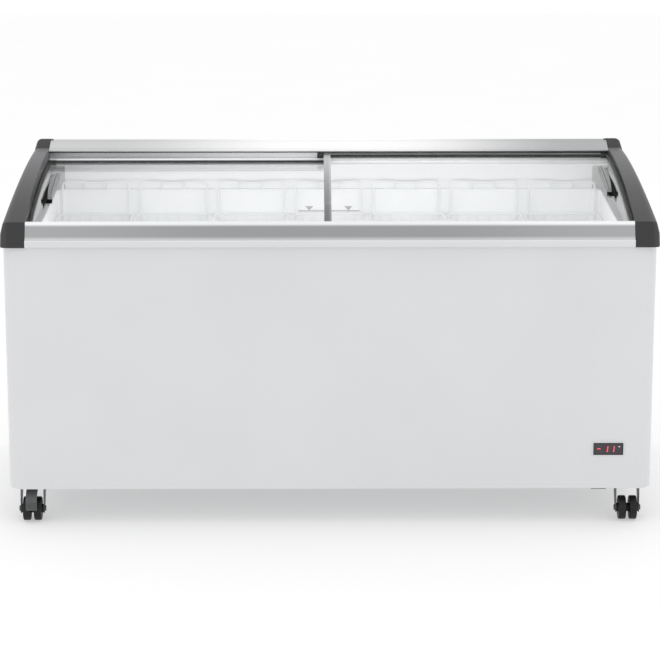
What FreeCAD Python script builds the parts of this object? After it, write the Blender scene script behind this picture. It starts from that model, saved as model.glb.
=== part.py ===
"""Curved-top sliding-glass chest freezer on four twin-wheel casters.

Millimetres. The origin is on the floor under the middle of the cabinet.
+X runs to the right of someone standing in front, +Y to the back, +Z up.
"""
import FreeCAD, Part
import math
import os

V = FreeCAD.Vector

# Cabinet body
BODY_WIDTH = 1620.0
BODY_DEPTH = 690.0
BODY_BOTTOM = 90.0
BODY_TOP = 716.0
CORNER_RADIUS = 35.0
SKIN = 1.0
PAN_SHEET = 1.5
SEAM = 0.3  # gap left between covers that meet edge to edge

# Curve of the top: an arc across the depth, the same from end to end
ARC_RADIUS = 1980.0
ARC_APEX_FROM_FRONT = 530.0
ARC_TOP = 843.5

# Side bows and their rear caps
BOW_WIDTH = 62.2
BOW_OVERHANG = 5.0
BOW_WALL = 4.0
BOW_INNER_WALL = 3.2
BOW_EDGE_ROUND = 15.0
BOW_FOOT_PROUD = 8.0
BOW_LEAN_RISE = 14.0  # the bow's flank is upright to here, over the ledge, then leans in
BOW_LEAN = 0.23  # lean, inward per unit of height
CAP_LENGTH = 49.0
CAP_OVERREACH = 6.8
CAP_RISE = 19.0
CAP_SLOPE_RUN = 32.0
CAP_REAR_PROUD = 10.0
CAP_ROUND = 14.0
CAP_FALL = 2.0  # the cap's top drops by this to the rear

# Inner liner
LINER_SHEET = 2.0
SIDE_INSULATION = 75.0
FRONT_INSULATION = 63.0
REAR_INSULATION = 60.0
FLOOR_INSULATION = 64.0
LINER_CORNER = 28.0
LEDGE_RISE = 15.0  # ledge height over the top of the body skin
FRONT_LEDGE = 17.5
REAR_LEDGE = 12.5
SIDE_LEDGE = 16.5
HUMP_FROM_RIGHT = 286.0
HUMP_TOP = 385.0
BULKHEAD_FOAM = 53.0
LINING_SHEET = 2.8
LINING_BELOW_LIDS = 7.0
COLLAR_SETBACK = 4.0  # front of the collar and rail foot, behind the front skin

# Front rail, trim strip and sliding tracks
RAIL_SETBACK = 17.0
RAIL_LIP = 5.5
RAIL_BOTTOM_RISE = 18.3
RAIL_WALL = 2.2
TRIM_PROUD = 10.0
TRIM_DEPTH = 13.5
TRIM_ROUND = 3.0
UPPER_TRACK = 11.0
LOWER_TRACK = 13.0
TRACK_CLEARANCE = 0.6
REAR_RAIL_DEPTH = 70.0
REAR_RAIL_BACK_RISE = 19.0
REAR_RAIL_PROUD = 6.0
REAR_RAIL_CHAMFER = 10.0  # along the depth, at the crest
REAR_RAIL_CHAMFER_FALL = 5.0
REAR_SLOT = 16.0
REAR_LIP = 2.5
REAR_LIP_GAP = 6.0

# Sliding lids
GLASS = 4.0
UPPER_DROP = 15.0  # upper glass surface below the top of the bows
LOWER_DROP = 32.0
STILE_BELOW = 4.0
STILE_WIDTH = 18.0
STILE_LEFT = -14.0
STILE_RISE = 2.0
LOWER_STILE_BELOW = 6.0
LID_GAP = 2.0
LID_END_CLEARANCE = 1.8
NOSE_BELOW = 6.4
REAR_PROFILE_RISE = 3.0
REAR_PROFILE_WIDTH = 18.0
REAR_PROFILE_PLAY = 2.0  # behind it, in the rail's slot
PANE_INSET = 3.0  # how far the profiles lap the glass edges
HANDLE_IN = 18.8  # handle's outer edge, in from the bow
HANDLE_WIDTH = 28.0
HANDLE_FRONT = 195.0  # from the front of the body
HANDLE_LENGTH = 260.0
HANDLE_FLANGE = 1.5
HANDLE_RIM = 2.0
HANDLE_GRIP = 9.7
GRIP_FRONT_INSET = 37.0
GRIP_REAR_INSET = 5.0
CUP_WALL = 1.5

# Hanging baskets
BASKET_COUNT = 7
BASKET_GAP = 6.0
BASKET_WALL = 3.0
BASKET_DEPTH = 190.0
BASKET_RIM_BELOW_LEDGE = 62.0
BASKET_END_CLEARANCE = 18.0
WIRE = 3.0  # half the hanger wire's thickness
HOOK_WIRE = 2.4
WELD = 1.0  # how far a wire sinks into the wall it is welded to
HANGER_WIDTH = 178.0
HANGER_ABOVE_LEDGE = 23.0
HANGER_LAP = 20.0  # how far the hanger wires run down the basket's wall
HOOK_SPREAD = 30.0
HOOK_REACH = 8.0
HOOK_CLEARANCE = 0.3

# Thermostat in the front skin
PANEL_FROM_RIGHT = 111.0
PANEL_Z = 195.0
BEZEL_WIDTH = 78.0
BEZEL_HEIGHT = 34.5
BEZEL_DEPTH = 4.0
BEZEL_BORDER = 3.5
WINDOW_SETBACK = 1.0
CUTOUT_WIDTH = 71.0
CUTOUT_HEIGHT = 29.0
HOUSING_DEPTH = 58.0
HOUSING_WALL = 1.6
FIT = 0.2

# Machine compartment
BAY_TOP = 330.0
COMPRESSOR_FROM_RIGHT = 110.0
COMPRESSOR_FROM_REAR = 195.0
COMPRESSOR_RADIUS = 68.0
COMPRESSOR_HEIGHT = 150.0
COMPRESSOR_DOME = 30.0
WELD_LEVEL = 0.45  # height of the shell's weld, as a share of the shell's
WELD_PROUD = 3.0
WELD_BAND = 6.0
FOOT_SPACING = 150.0
FOOT_DEPTH_SPACING = 80.0
FOOT_MARGIN = 15.0
FOOT_PLATE = 3.0
TERMINAL_PROUD = 22.0
TERMINAL_SUNK = 12.0
TERMINAL_WIDTH = 50.0
TERMINAL_RISE = 50.0
TERMINAL_HEIGHT = 60.0
GROMMET_RADIUS = 13.0
GROMMET_HEIGHT = 14.0
FAN_FROM_REAR = 375.0
FAN_Z = 205.0
FAN_RADIUS = 78.0
FAN_BLADES = 5
FAN_TIP_GAP = 6.0
HUB_SIZE = 16.0  # radius of the fan's hub
HUB_LENGTH = 22.0
HUB_AHEAD = 34.0  # front of the hub, ahead of the shroud
BLADE_CHORD = 38.0
BLADE_SHEET = 2.0
BLADE_ROOT = 12.0
BLADE_PITCH = 28.0
SHROUD_BORDER = 11.0  # from the fan's opening to the shroud's edge
SHROUD_PLAY = 5.0  # between the shroud and the foam bulkhead
SHROUD_SHEET = 3.0
ARM_WIDTH = 12.0
ARM_SPACING = 60.0
MOTOR_SIZE = 72.0
MOTOR_DEPTH = 42.0
SHAFT_RADIUS = 3.0
SHAFT_LENGTH = 40.0
SHAFT_CLEARANCE = 0.05
CONDENSER_FINS = 14
CONDENSER_PITCH = 13.0
CONDENSER_AHEAD = 98.0  # ahead of the fan's shroud
CONDENSER_DEPTH = 44.0
CONDENSER_ROWS = 6
CONDENSER_ROW_PITCH = 28.0
CONDENSER_TUBE = 4.0
FIN_HEIGHT = 170.0
FIN_SHEET = 1.0
DRIER_FROM_BULKHEAD = 40.0
DRIER_RADIUS = 10.0
DRIER_LENGTH = 90.0
DRIER_ROUND = 4.0
DRIER_Z = 150.0
DRIER_FROM_REAR = 195.0  # its rear end
LINE_BEND = 12.0
LINE_RADIUS = 3.0
SUCTION_RADIUS = 4.0
PORT_OFFSET = 30.0  # the shell's ports, either side of its axis
DISCHARGE_RISE = 30.0
SUCTION_RISE = 34.0
SUCTION_RUN = 70.0
LIQUID_RUN = 30.0
BULKHEAD_GAP = 1.0
VENT_FROM_RIGHT = 250.0
VENT_WIDTH = 220.0
VENT_BOTTOM = 115.0
VENT_HEIGHT = 185.0
VENT_LAP = 12.0
VENT_SLOTS = 9
VENT_SHEET = 3.0
VENT_SLOT_INSET = 6.0
GLAND_FROM_RIGHT = 285.0
GLAND_Z = 130.0
GLAND_RADIUS = 11.0
GLAND_BORE = 4.2
GLAND_COLLAR = 8.0
GLAND_FLANGE = 5.0
GLAND_FLANGE_LAP = 4.0
EVAPORATOR_TUBE = 4.0
EVAPORATOR_LEVELS = 8
EVAPORATOR_BEND = 25.0
EVAPORATOR_GAP = 1.0
EVAPORATOR_FROM_HUMP = 60.0
EVAPORATOR_INSET = 40.0  # highest and lowest turn, in from the body's top and the tub's floor

# Floor drain
DRAIN_FROM_RIGHT = 410.0
DRAIN_FROM_FRONT = 110.0
DRAIN_RADIUS = 10.0
DRAIN_FLANGE = 16.0
DRAIN_FLANGE_SHEET = 3.0
TAB_WIDTH = 16.0
TAB_SHEET = 3.0
TAB_HEIGHT = 16.0
PIPE_RADIUS = 7.0
PIPE_BEND = 12.0
PIPE_RISE = 20.0
SPOUT_FROM_RIGHT = 132.0
SPOUT_FROM_FRONT = 22.0
SPOUT_WIDTH = 38.0
SPOUT_DEPTH = 24.0
SPOUT_DROP = 5.0

# Casters
CASTER_FROM_SIDE = 61.0
CASTER_FROM_FRONT = 50.0
PLATE_SIZE = 60.0
PLATE_THICK = 2.5
PLATE_ROUND = 4.0
RACE_RADIUS = 23.0
RACE_HEIGHT = 3.0
FORK_SHEET = 2.0
FORK_TRAIL = 20.0
FORK_EAR = 10.0
FORK_SHOULDER = 6.0  # the fork's top is narrower than the plate by this at each end
FORK_SKIRT = 10.0
WHEEL_RADIUS = 30.0
WHEEL_WIDTH = 18.5
WHEEL_GAP = 9.0
TREAD_ROUND = 3.0
AXLE_RADIUS = 4.0
AXLE_CLEARANCE = 0.05
HUB_RADIUS = 11.0
SIDE_PLAY = 0.4
NUT_RADIUS = 7.0
NUT_HEIGHT = 3.5
PEDAL_WIDTH = 28.0
PEDAL_THICK = 3.0
PEDAL_BOTTOM = 36.0
PEDAL_GAP = 4.5
PEDAL_PIVOT_GAP = 0.6
PEDAL_HIP_DROP = 18.0
PEDAL_ROOT = 5.0  # height of the lever's root
PEDAL_ROOT_REACH = 8.0
PEDAL_TOP_GAP = 1.0
PEDAL_BEND_DROP = 2.0
BOLT_RADIUS = 3.0
BOLT_HEAD = 5.0
BOLT_HEAD_HEIGHT = 2.6
BOLT_CLEARANCE = 0.1
BOLT_SPACING = 46.0

# Places that follow from the sizes above
FRONT = -BODY_DEPTH / 2
REAR = BODY_DEPTH / 2
SIDE = BODY_WIDTH / 2
APEX_Y = FRONT + ARC_APEX_FROM_FRONT
ARC_CENTRE = ARC_TOP - ARC_RADIUS
LEDGE = BODY_TOP + LEDGE_RISE
BOW_OUT = SIDE + BOW_OVERHANG
BOW_IN = BOW_OUT - BOW_WIDTH
CAP_FRONT = REAR + CAP_REAR_PROUD - CAP_LENGTH
LINER_X = SIDE - SIDE_INSULATION - LINER_SHEET
LINER_FRONT = FRONT + FRONT_INSULATION + LINER_SHEET
LINER_REAR = REAR - REAR_INSULATION - LINER_SHEET
LINER_FLOOR = BODY_BOTTOM + PAN_SHEET + FLOOR_INSULATION + LINER_SHEET
HUMP_X = LINER_X - HUMP_FROM_RIGHT
BAY_X = HUMP_X + BULKHEAD_FOAM
RAIL_INNER = FRONT + RAIL_SETBACK + RAIL_LIP
STEP_Y = RAIL_INNER + UPPER_TRACK
TRACK_END = STEP_Y + LOWER_TRACK
RAIL_FOOT_FRONT = FRONT + COLLAR_SETBACK
RAIL_BOTTOM = LEDGE - LINER_SHEET + SEAM
SLOT_FRONT = REAR - REAR_RAIL_DEPTH
SLOT_BACK = SLOT_FRONT + REAR_SLOT
UPPER_GLASS_R = ARC_RADIUS - UPPER_DROP
LOWER_GLASS_R = ARC_RADIUS - LOWER_DROP
LEAN_FROM = LEDGE + BOW_LEAN_RISE
BOW_CORE_OUT = BOW_OUT - BOW_WALL - BOW_EDGE_ROUND - BOW_LEAN * (ARC_TOP - LEAN_FROM)
NOSE_RISE = LOWER_DROP - UPPER_DROP - GLASS - STILE_BELOW - LID_GAP
LID_END = BOW_IN - LID_END_CLEARANCE
STILE_RIGHT = STILE_LEFT + STILE_WIDTH
UPSTAND_Y = LINER_REAR + REAR_LEDGE + SEAM
PANEL_X = SIDE - PANEL_FROM_RIGHT
COMPRESSOR_X = SIDE - COMPRESSOR_FROM_RIGHT
COMPRESSOR_Y = REAR - COMPRESSOR_FROM_REAR
COMPRESSOR_FOOT = BODY_BOTTOM + PAN_SHEET + GROMMET_HEIGHT
COMPRESSOR_TOP = COMPRESSOR_FOOT + FOOT_PLATE + COMPRESSOR_HEIGHT
FAN_OPENING = FAN_RADIUS + FAN_TIP_GAP
SHROUD_HALF = FAN_OPENING + SHROUD_BORDER
FAN_X = BAY_X + SHROUD_PLAY + SHROUD_HALF
FAN_Y = REAR - FAN_FROM_REAR
CONDENSER_Y = FAN_Y - CONDENSER_AHEAD
DRIER_X = BAY_X + DRIER_FROM_BULKHEAD
DRIER_REAR = REAR - DRIER_FROM_REAR
VENT_LEFT = SIDE - VENT_FROM_RIGHT
GLAND_X = SIDE - GLAND_FROM_RIGHT
DRAIN_X = SIDE - DRAIN_FROM_RIGHT
DRAIN_Y = FRONT + DRAIN_FROM_FRONT
SPOUT_X = SIDE - SPOUT_FROM_RIGHT
SPOUT_Y = FRONT + SPOUT_FROM_FRONT


def box(x0, x1, y0, y1, z0, z1):
    """A block between two opposite corners."""
    return Part.makeBox(x1 - x0, y1 - y0, z1 - z0, V(x0, y0, z0))


def cylinder(centre, direction, radius, length):
    """A round bar that starts at centre and runs along direction."""
    return Part.makeCylinder(radius, length, centre, direction)


def arc_z(radius, y):
    """Height at y of the arc of this radius about the top's centre line."""
    return ARC_CENTRE + math.sqrt(radius**2 - (y - APEX_Y) ** 2)


def on_arc(radius, y, x=0.0):
    return V(x, y, arc_z(radius, y))


def arc_edge(radius, y0, y1):
    middle = (y0 + y1) / 2
    return Part.Arc(on_arc(radius, y0), on_arc(radius, middle), on_arc(radius, y1)).toShape()


def line(a, b):
    return Part.makeLine(a, b)


def across(face, x0, x1):
    """Carry a face drawn in the plane x = 0 from x0 to x1."""
    face.translate(V(x0, 0, 0))
    return face.extrude(V(x1 - x0, 0, 0))


def profile(points, x0, x1):
    """A bar along X whose section is a polygon of (y, z) points."""
    corners = [V(0, y, z) for y, z in points]
    return across(Part.Face(Part.makePolygon(corners + corners[:1])), x0, x1)


def band(r0, r1, y0, y1, x0, x1):
    """A curved plate between two radii of the top's arc."""
    edges = [
        arc_edge(r1, y0, y1),
        line(on_arc(r1, y1), on_arc(r0, y1)),
        arc_edge(r0, y1, y0),
        line(on_arc(r0, y0), on_arc(r1, y0)),
    ]
    return across(Part.Face(Part.Wire(edges)), x0, x1)


def under_arc(radius, y0, y1, base, x0, x1):
    """What lies between a flat base and the arc."""
    edges = [
        arc_edge(radius, y0, y1),
        line(on_arc(radius, y1), V(0, y1, base)),
        line(V(0, y1, base), V(0, y0, base)),
        line(V(0, y0, base), on_arc(radius, y0)),
    ]
    return across(Part.Face(Part.Wire(edges)), x0, x1)


def rounded_block(x0, x1, y0, y1, z0, z1, radius):
    """A block with round vertical edges."""
    block = box(x0, x1, y0, y1, z0, z1)
    uprights = [
        e for e in block.Edges if abs(e.Vertexes[0].Z - e.Vertexes[-1].Z) > (z1 - z0) / 2
    ]
    return block.makeFillet(radius, uprights)


def cabinet_block(inset, z0, z1):
    """The cabinet's plan: round front corners and a square back."""
    block = rounded_block(
        inset - SIDE,
        SIDE - inset,
        FRONT + inset,
        REAR + CORNER_RADIUS,
        z0,
        z1,
        CORNER_RADIUS - inset,
    )
    behind = box(-BODY_WIDTH, BODY_WIDTH, REAR - inset, REAR + 2 * CORNER_RADIUS, z0 - 1, z1 + 1)
    return block.cut(behind)


def mirrored(shape):
    """The same piece for the other end of the cabinet."""
    return shape.mirror(V(0, 0, 0), V(1, 0, 0))


def tube(points, bend, radius):
    """A round wire or pipe along straight runs joined by tangent arcs."""
    points = [V(*p) for p in points]
    edges = []
    start = points[0]
    for before, corner, after in zip(points, points[1:], points[2:]):
        back = (before - corner).normalize()
        on = (after - corner).normalize()
        half = math.acos(max(-1.0, min(1.0, back.dot(on)))) / 2
        reach = bend / math.tan(half)
        into = corner + back * reach
        out = corner + on * reach
        middle = (back + on).normalize()
        crown = corner + middle * (bend / math.sin(half) - bend)
        edges.append(line(start, into))
        edges.append(Part.Arc(into, crown, out).toShape())
        start = out
    edges.append(line(start, points[-1]))
    path = Part.Wire(edges)
    ring = Part.Wire([Part.makeCircle(radius, points[0], points[1] - points[0])])
    return path.makePipeShell([ring], True, False)


def fused(pieces):
    """One welded solid."""
    whole = pieces[0].fuse(pieces[1:])
    return whole.removeSplitter()


def save(name, *solids):
    """Write one node: one solid, or a group of separate like solids."""
    shape = solids[0] if len(solids) == 1 else Part.makeCompound(list(solids))
    shape.exportStep(os.path.join("parts", name + ".step"))


# ---------------------------------------------------------------- cabinet


def outer_wrap():
    """Painted sheet folded round the front and both sides."""
    inside = cabinet_block(SKIN, BODY_BOTTOM - 1, BODY_TOP + 1)
    opening = box(SKIN - SIDE, SIDE - SKIN, 0, REAR + 1, BODY_BOTTOM - 1, BODY_TOP + 1)
    window = box(
        PANEL_X - CUTOUT_WIDTH / 2,
        PANEL_X + CUTOUT_WIDTH / 2,
        FRONT - 1,
        FRONT + CORNER_RADIUS,
        PANEL_Z - CUTOUT_HEIGHT / 2,
        PANEL_Z + CUTOUT_HEIGHT / 2,
    )
    return cabinet_block(0, BODY_BOTTOM, BODY_TOP).cut(inside).cut(opening).cut(window)


def rear_panel():
    """Flat back sheet between the side walls, open behind the machine bay."""
    sheet = box(SKIN - SIDE, SIDE - SKIN, REAR - SKIN, REAR, BODY_BOTTOM, BODY_TOP)
    vent = box(
        VENT_LEFT,
        VENT_LEFT + VENT_WIDTH,
        REAR - 2 * SKIN,
        REAR + 1,
        VENT_BOTTOM,
        VENT_BOTTOM + VENT_HEIGHT,
    )
    gland = cylinder(V(GLAND_X, REAR - 2 * SKIN, GLAND_Z), V(0, 1, 0), GLAND_RADIUS, 4 * SKIN)
    return sheet.cut(vent).cut(gland)


def base_pan():
    """Bottom sheet that carries the casters and the machine tray."""
    sheet = cabinet_block(SKIN, BODY_BOTTOM, BODY_BOTTOM + PAN_SHEET)
    for x, y in bolt_places():
        sheet = sheet.cut(cylinder(V(x, y, 0), V(0, 0, 1), BOLT_RADIUS, BODY_TOP))
    return sheet


def liner_block(grow, floor, top):
    """The liner's plan, grown outwards, with the step over the machine bay."""
    block = rounded_block(
        -LINER_X - grow,
        LINER_X + grow,
        LINER_FRONT - grow,
        LINER_REAR + grow,
        floor,
        top,
        LINER_CORNER + grow,
    )
    step = box(HUMP_X + grow, BODY_WIDTH, -BODY_DEPTH, BODY_DEPTH, 0, HUMP_TOP - grow)
    return block.cut(step)


def inner_liner():
    """White inner tub, stepped over the machine bay, with a ledge round its mouth."""
    tub = liner_block(LINER_SHEET, LINER_FLOOR - LINER_SHEET, LEDGE)
    ledge = rounded_block(
        -LINER_X - SIDE_LEDGE,
        LINER_X + SIDE_LEDGE,
        LINER_FRONT - FRONT_LEDGE,
        LINER_REAR + REAR_LEDGE,
        LEDGE - LINER_SHEET,
        LEDGE,
        LINER_CORNER,
    )
    drain = cylinder(V(DRAIN_X, DRAIN_Y, 0), V(0, 0, 1), DRAIN_RADIUS, HUMP_TOP)
    return fused([tub, ledge]).cut(liner_block(0, LINER_FLOOR, LEDGE + 1)).cut(drain)


def foam_insulation():
    """Foam between the skins, and the two cores inside the bows."""
    block = cabinet_block(SKIN, BODY_BOTTOM + PAN_SHEET, BODY_TOP)
    tub = liner_block(LINER_SHEET, LINER_FLOOR - LINER_SHEET, LEDGE)
    bay = box(BAY_X, BODY_WIDTH, -BODY_DEPTH, BODY_DEPTH, 0, BAY_TOP)
    drain_way = cylinder(V(DRAIN_X, DRAIN_Y, 0), V(0, 0, 1), DRAIN_RADIUS + SEAM, HUMP_TOP)
    walls = block.cut(tub).cut(bay).cut(drain_way).cut(drain_run(PIPE_RADIUS + SEAM))
    core = under_arc(
        ARC_RADIUS - BOW_WALL - SEAM,
        LINER_FRONT - FRONT_LEDGE,
        CAP_FRONT - BOW_WALL - SEAM,
        LEDGE + SEAM,
        BOW_IN + BOW_INNER_WALL + SEAM,
        BOW_CORE_OUT - SEAM,
    )
    return walls, core, mirrored(core)


def collar_block(gap):
    """Room that the collar's ring takes under the bows and rails."""
    reach = SIDE - BOW_WALL - SEAM + gap
    return box(
        -reach,
        reach,
        FRONT + COLLAR_SETBACK - gap,
        REAR - SKIN + gap,
        BODY_TOP - gap,
        LEDGE - LINER_SHEET + gap,
    )


def collar_frame():
    """White frame that bridges the skins, with an upstand behind the lids."""
    top = LEDGE - LINER_SHEET
    ring = collar_block(0)
    mouth = rounded_block(
        -LINER_X - LINER_SHEET,
        LINER_X + LINER_SHEET,
        LINER_FRONT - LINER_SHEET,
        LINER_REAR + LINER_SHEET,
        0,
        2 * BODY_TOP,
        LINER_CORNER + LINER_SHEET,
    )
    upstand = box(-BOW_IN, BOW_IN, UPSTAND_Y, REAR, top, rear_rail_foot())
    return fused([ring.cut(mouth), upstand])


# ------------------------------------------------------- top frame and bows


def bow_outline(x0, x1, inset):
    """Side view of a bow: leaning front face, arched top, upright back."""
    foot_y = FRONT - BOW_FOOT_PROUD + inset
    crest_y = FRONT + RAIL_SETBACK + inset
    back_y = CAP_FRONT - inset - SEAM
    radius = ARC_RADIUS - inset
    edges = [
        line(V(0, foot_y, BODY_TOP), on_arc(radius, crest_y)),
        arc_edge(radius, crest_y, back_y),
        line(on_arc(radius, back_y), V(0, back_y, BODY_TOP)),
        line(V(0, back_y, BODY_TOP), V(0, foot_y, BODY_TOP)),
    ]
    return across(Part.Face(Part.Wire(edges)), x0, x1)


def beyond_flank(inset):
    """What lies outside the leaning upper flank of the right bow."""
    foot = BOW_OUT - inset
    rise = BODY_TOP
    section = [
        V(foot, -BODY_DEPTH, LEAN_FROM),
        V(foot + rise, -BODY_DEPTH, LEAN_FROM),
        V(foot + rise, -BODY_DEPTH, LEAN_FROM + rise),
        V(foot - BOW_LEAN * rise, -BODY_DEPTH, LEAN_FROM + rise),
    ]
    face = Part.Face(Part.makePolygon(section + section[:1]))
    return face.extrude(V(0, 2 * BODY_DEPTH, 0))


def on_flank(edge, lowest):
    """Whether an edge lies on the right bow's outer flank, all above lowest."""
    for v in edge.Vertexes:
        outside = BOW_OUT - BOW_LEAN * max(0, v.Z - LEAN_FROM)
        if v.Z < lowest or v.X < outside - 0.1:
            return False
    return True


def bow():
    """Right-hand bow: a moulded shell, open below and under its inner skirt."""
    solid = bow_outline(BOW_IN, BOW_OUT, 0).cut(beyond_flank(0))
    crest = [e for e in solid.Edges if on_flank(e, LEAN_FROM + 1)]
    front = [
        e
        for e in solid.Edges
        if on_flank(e, BODY_TOP - 1) and max(v.Y for v in e.Vertexes) < FRONT + RAIL_SETBACK + 1
    ]
    solid = solid.makeFillet(BOW_EDGE_ROUND, crest + front)
    hollow = bow_outline(BOW_IN + BOW_INNER_WALL, BOW_OUT - BOW_WALL, BOW_WALL)
    hollow = hollow.cut(beyond_flank(BOW_WALL))
    front_corner = box(
        BOW_CORE_OUT,
        BOW_OUT,
        FRONT - BOW_EDGE_ROUND,
        FRONT + RAIL_SETBACK + BOW_EDGE_ROUND,
        BODY_TOP - 1,
        ARC_TOP,
    )
    hollow = hollow.cut(front_corner)
    corner = bow_outline(BOW_CORE_OUT, BOW_OUT, BOW_WALL).cut(
        bow_outline(BOW_CORE_OUT, BOW_OUT, BOW_WALL + BOW_EDGE_ROUND)
    )
    skirt = under_arc(
        lining_top(),
        TRACK_END + SEAM,
        CAP_FRONT - BOW_WALL,
        BODY_TOP - 1,
        BOW_IN - 1,
        BOW_IN + BOW_INNER_WALL + 1,
    )
    return solid.cut(hollow.cut(corner)).cut(skirt).cut(collar_block(SEAM))


def rear_cap():
    """Right-hand raised corner block behind the bow."""
    back = REAR + CAP_REAR_PROUD
    start = arc_z(ARC_RADIUS, CAP_FRONT)
    block = profile(
        [
            (CAP_FRONT, BODY_TOP),
            (CAP_FRONT, start),
            (CAP_FRONT + CAP_SLOPE_RUN, start + CAP_RISE),
            (back, start + CAP_RISE - CAP_FALL),
            (back, BODY_TOP),
        ],
        BOW_IN - CAP_OVERREACH,
        BOW_OUT,
    ).cut(beyond_flank(0))
    crest = [e for e in block.Edges if on_flank(e, LEAN_FROM + 1)]
    block = block.makeFillet(CAP_ROUND, crest)
    inside = box(
        BOW_IN + BOW_INNER_WALL,
        BOW_OUT - BOW_WALL,
        CAP_FRONT + BOW_WALL,
        back - BOW_WALL,
        BODY_TOP - 1,
        start - BOW_WALL,
    )
    notch = box(
        BOW_IN - 2 * CAP_OVERREACH, BOW_IN + SEAM, 0, back + 1, BODY_TOP - 1, rear_rail_crest()
    )
    inside = inside.cut(beyond_flank(BOW_WALL))
    return block.cut(inside).cut(notch).cut(collar_block(SEAM))


def lining_top():
    """Radius of the arc that the side linings stop at, under the lower lid."""
    return LOWER_GLASS_R - GLASS - LOWER_STILE_BELOW - LINING_BELOW_LIDS


def side_lining():
    """Right-hand light grey sheet between the ledge and the bow."""
    return under_arc(
        lining_top() - SEAM,
        TRACK_END + SEAM,
        UPSTAND_Y - SEAM,
        LEDGE,
        BOW_IN - LINING_SHEET,
        BOW_IN,
    )


def front_trim():
    """Pale strip along the top of the front skin."""
    bar = box(
        SEAM - BOW_IN,
        BOW_IN - SEAM,
        FRONT - TRIM_PROUD,
        FRONT - TRIM_PROUD + TRIM_DEPTH,
        BODY_TOP + SEAM,
        BODY_TOP + RAIL_BOTTOM_RISE - SEAM,
    )
    front_edges = [
        e
        for e in bar.Edges
        if abs(e.Vertexes[0].Y - bar.BoundBox.YMin) < 0.1
        and abs(e.Vertexes[-1].Y - bar.BoundBox.YMin) < 0.1
        and abs(e.Vertexes[0].Z - e.Vertexes[-1].Z) < 0.1
    ]
    return bar.makeFillet(TRIM_ROUND, front_edges)


def upper_shelf():
    """Top of the front track under the upper lid's nose."""
    return nose_bottom(UPPER_GLASS_R, STEP_Y - TRACK_CLEARANCE) - TRACK_CLEARANCE


def lower_shelf():
    return nose_bottom(LOWER_GLASS_R, TRACK_END - TRACK_CLEARANCE) - TRACK_CLEARANCE


def nose_bottom(glass_radius, y):
    return arc_z(glass_radius - GLASS, y) - NOSE_BELOW


def front_rail():
    """Aluminium extrusion: leaning face, top lip and two stepped tracks."""
    top = arc_z(ARC_RADIUS, FRONT + RAIL_SETBACK)
    shoulder = BODY_TOP + RAIL_BOTTOM_RISE
    face_y = FRONT - SEAM
    web = RAIL_WALL
    lean = (FRONT + RAIL_SETBACK - face_y) / (top - shoulder)
    outline = [
        (face_y, shoulder),
        (FRONT + RAIL_SETBACK, top),
        (RAIL_INNER, top),
        (RAIL_INNER, upper_shelf()),
        (STEP_Y, upper_shelf()),
        (STEP_Y, lower_shelf()),
        (TRACK_END, lower_shelf()),
        (TRACK_END, RAIL_BOTTOM),
        (RAIL_FOOT_FRONT, RAIL_BOTTOM),
        (RAIL_FOOT_FRONT, shoulder),
    ]
    floor = shoulder + web
    ceiling = top - web
    face_chamber = [
        (face_y + web + lean * web, floor),
        (face_y + web + lean * (ceiling - shoulder), ceiling),
        (RAIL_INNER - web, ceiling),
        (RAIL_INNER - web, floor),
    ]
    track_chamber = [
        (RAIL_INNER, RAIL_BOTTOM + web),
        (RAIL_INNER, upper_shelf() - web),
        (STEP_Y - web, upper_shelf() - web),
        (STEP_Y - web, lower_shelf() - web),
        (TRACK_END - web, lower_shelf() - web),
        (TRACK_END - web, RAIL_BOTTOM + web),
    ]
    x0 = SEAM - BOW_IN
    x1 = BOW_IN - SEAM
    bar = profile(outline, x0, x1)
    return bar.cut(profile(face_chamber, x0 - 1, x1 + 1)).cut(
        profile(track_chamber, x0 - 1, x1 + 1)
    )


def slot_floor(glass_radius):
    """Underside of the space that a lid's rear edge slides in."""
    lowest = arc_z(glass_radius - GLASS - STILE_BELOW, SLOT_BACK)
    return lowest - TRACK_CLEARANCE


def slot_ceiling(glass_radius):
    highest = arc_z(glass_radius + REAR_PROFILE_RISE, SLOT_FRONT)
    return highest + TRACK_CLEARANCE


def rear_rail_foot():
    return slot_floor(LOWER_GLASS_R) - REAR_LIP - 2 * SEAM


def rear_rail_front_top():
    return slot_ceiling(UPPER_GLASS_R) + REAR_LIP_GAP + REAR_LIP


def rear_rail_crest():
    return rear_rail_front_top() + REAR_RAIL_BACK_RISE + 2 * SEAM


def rear_rail():
    """Aluminium extrusion with two slots for the lids' rear edges."""
    foot = rear_rail_foot() + SEAM
    front_top = rear_rail_front_top()
    crest = front_top + REAR_RAIL_BACK_RISE
    back = REAR + REAR_RAIL_PROUD
    outline = [
        (SLOT_FRONT, foot),
        (SLOT_FRONT, front_top),
        (back - REAR_RAIL_CHAMFER, crest),
        (back, crest - REAR_RAIL_CHAMFER_FALL),
        (back, foot),
    ]
    reach = SLOT_FRONT - 1
    upper_top = front_top - REAR_LIP
    upper = box(
        -BODY_WIDTH, BODY_WIDTH, reach, SLOT_BACK, slot_floor(UPPER_GLASS_R), upper_top
    )
    lower = box(
        -BODY_WIDTH,
        BODY_WIDTH,
        reach,
        SLOT_BACK,
        slot_floor(LOWER_GLASS_R),
        slot_ceiling(LOWER_GLASS_R),
    )
    web = 2 * RAIL_WALL
    chamber = [
        (SLOT_BACK + web, foot + web),
        (SLOT_BACK + web, front_top - web),
        (back - REAR_RAIL_CHAMFER, crest - web),
        (back - web, crest - 2 * web),
        (back - web, foot + web),
    ]
    x1 = BOW_IN - SEAM
    bar = profile(outline, -x1, x1).cut(upper).cut(lower)
    return bar.cut(profile(chamber, -x1 - 1, x1 + 1))


# ------------------------------------------------------------ sliding lids


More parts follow.
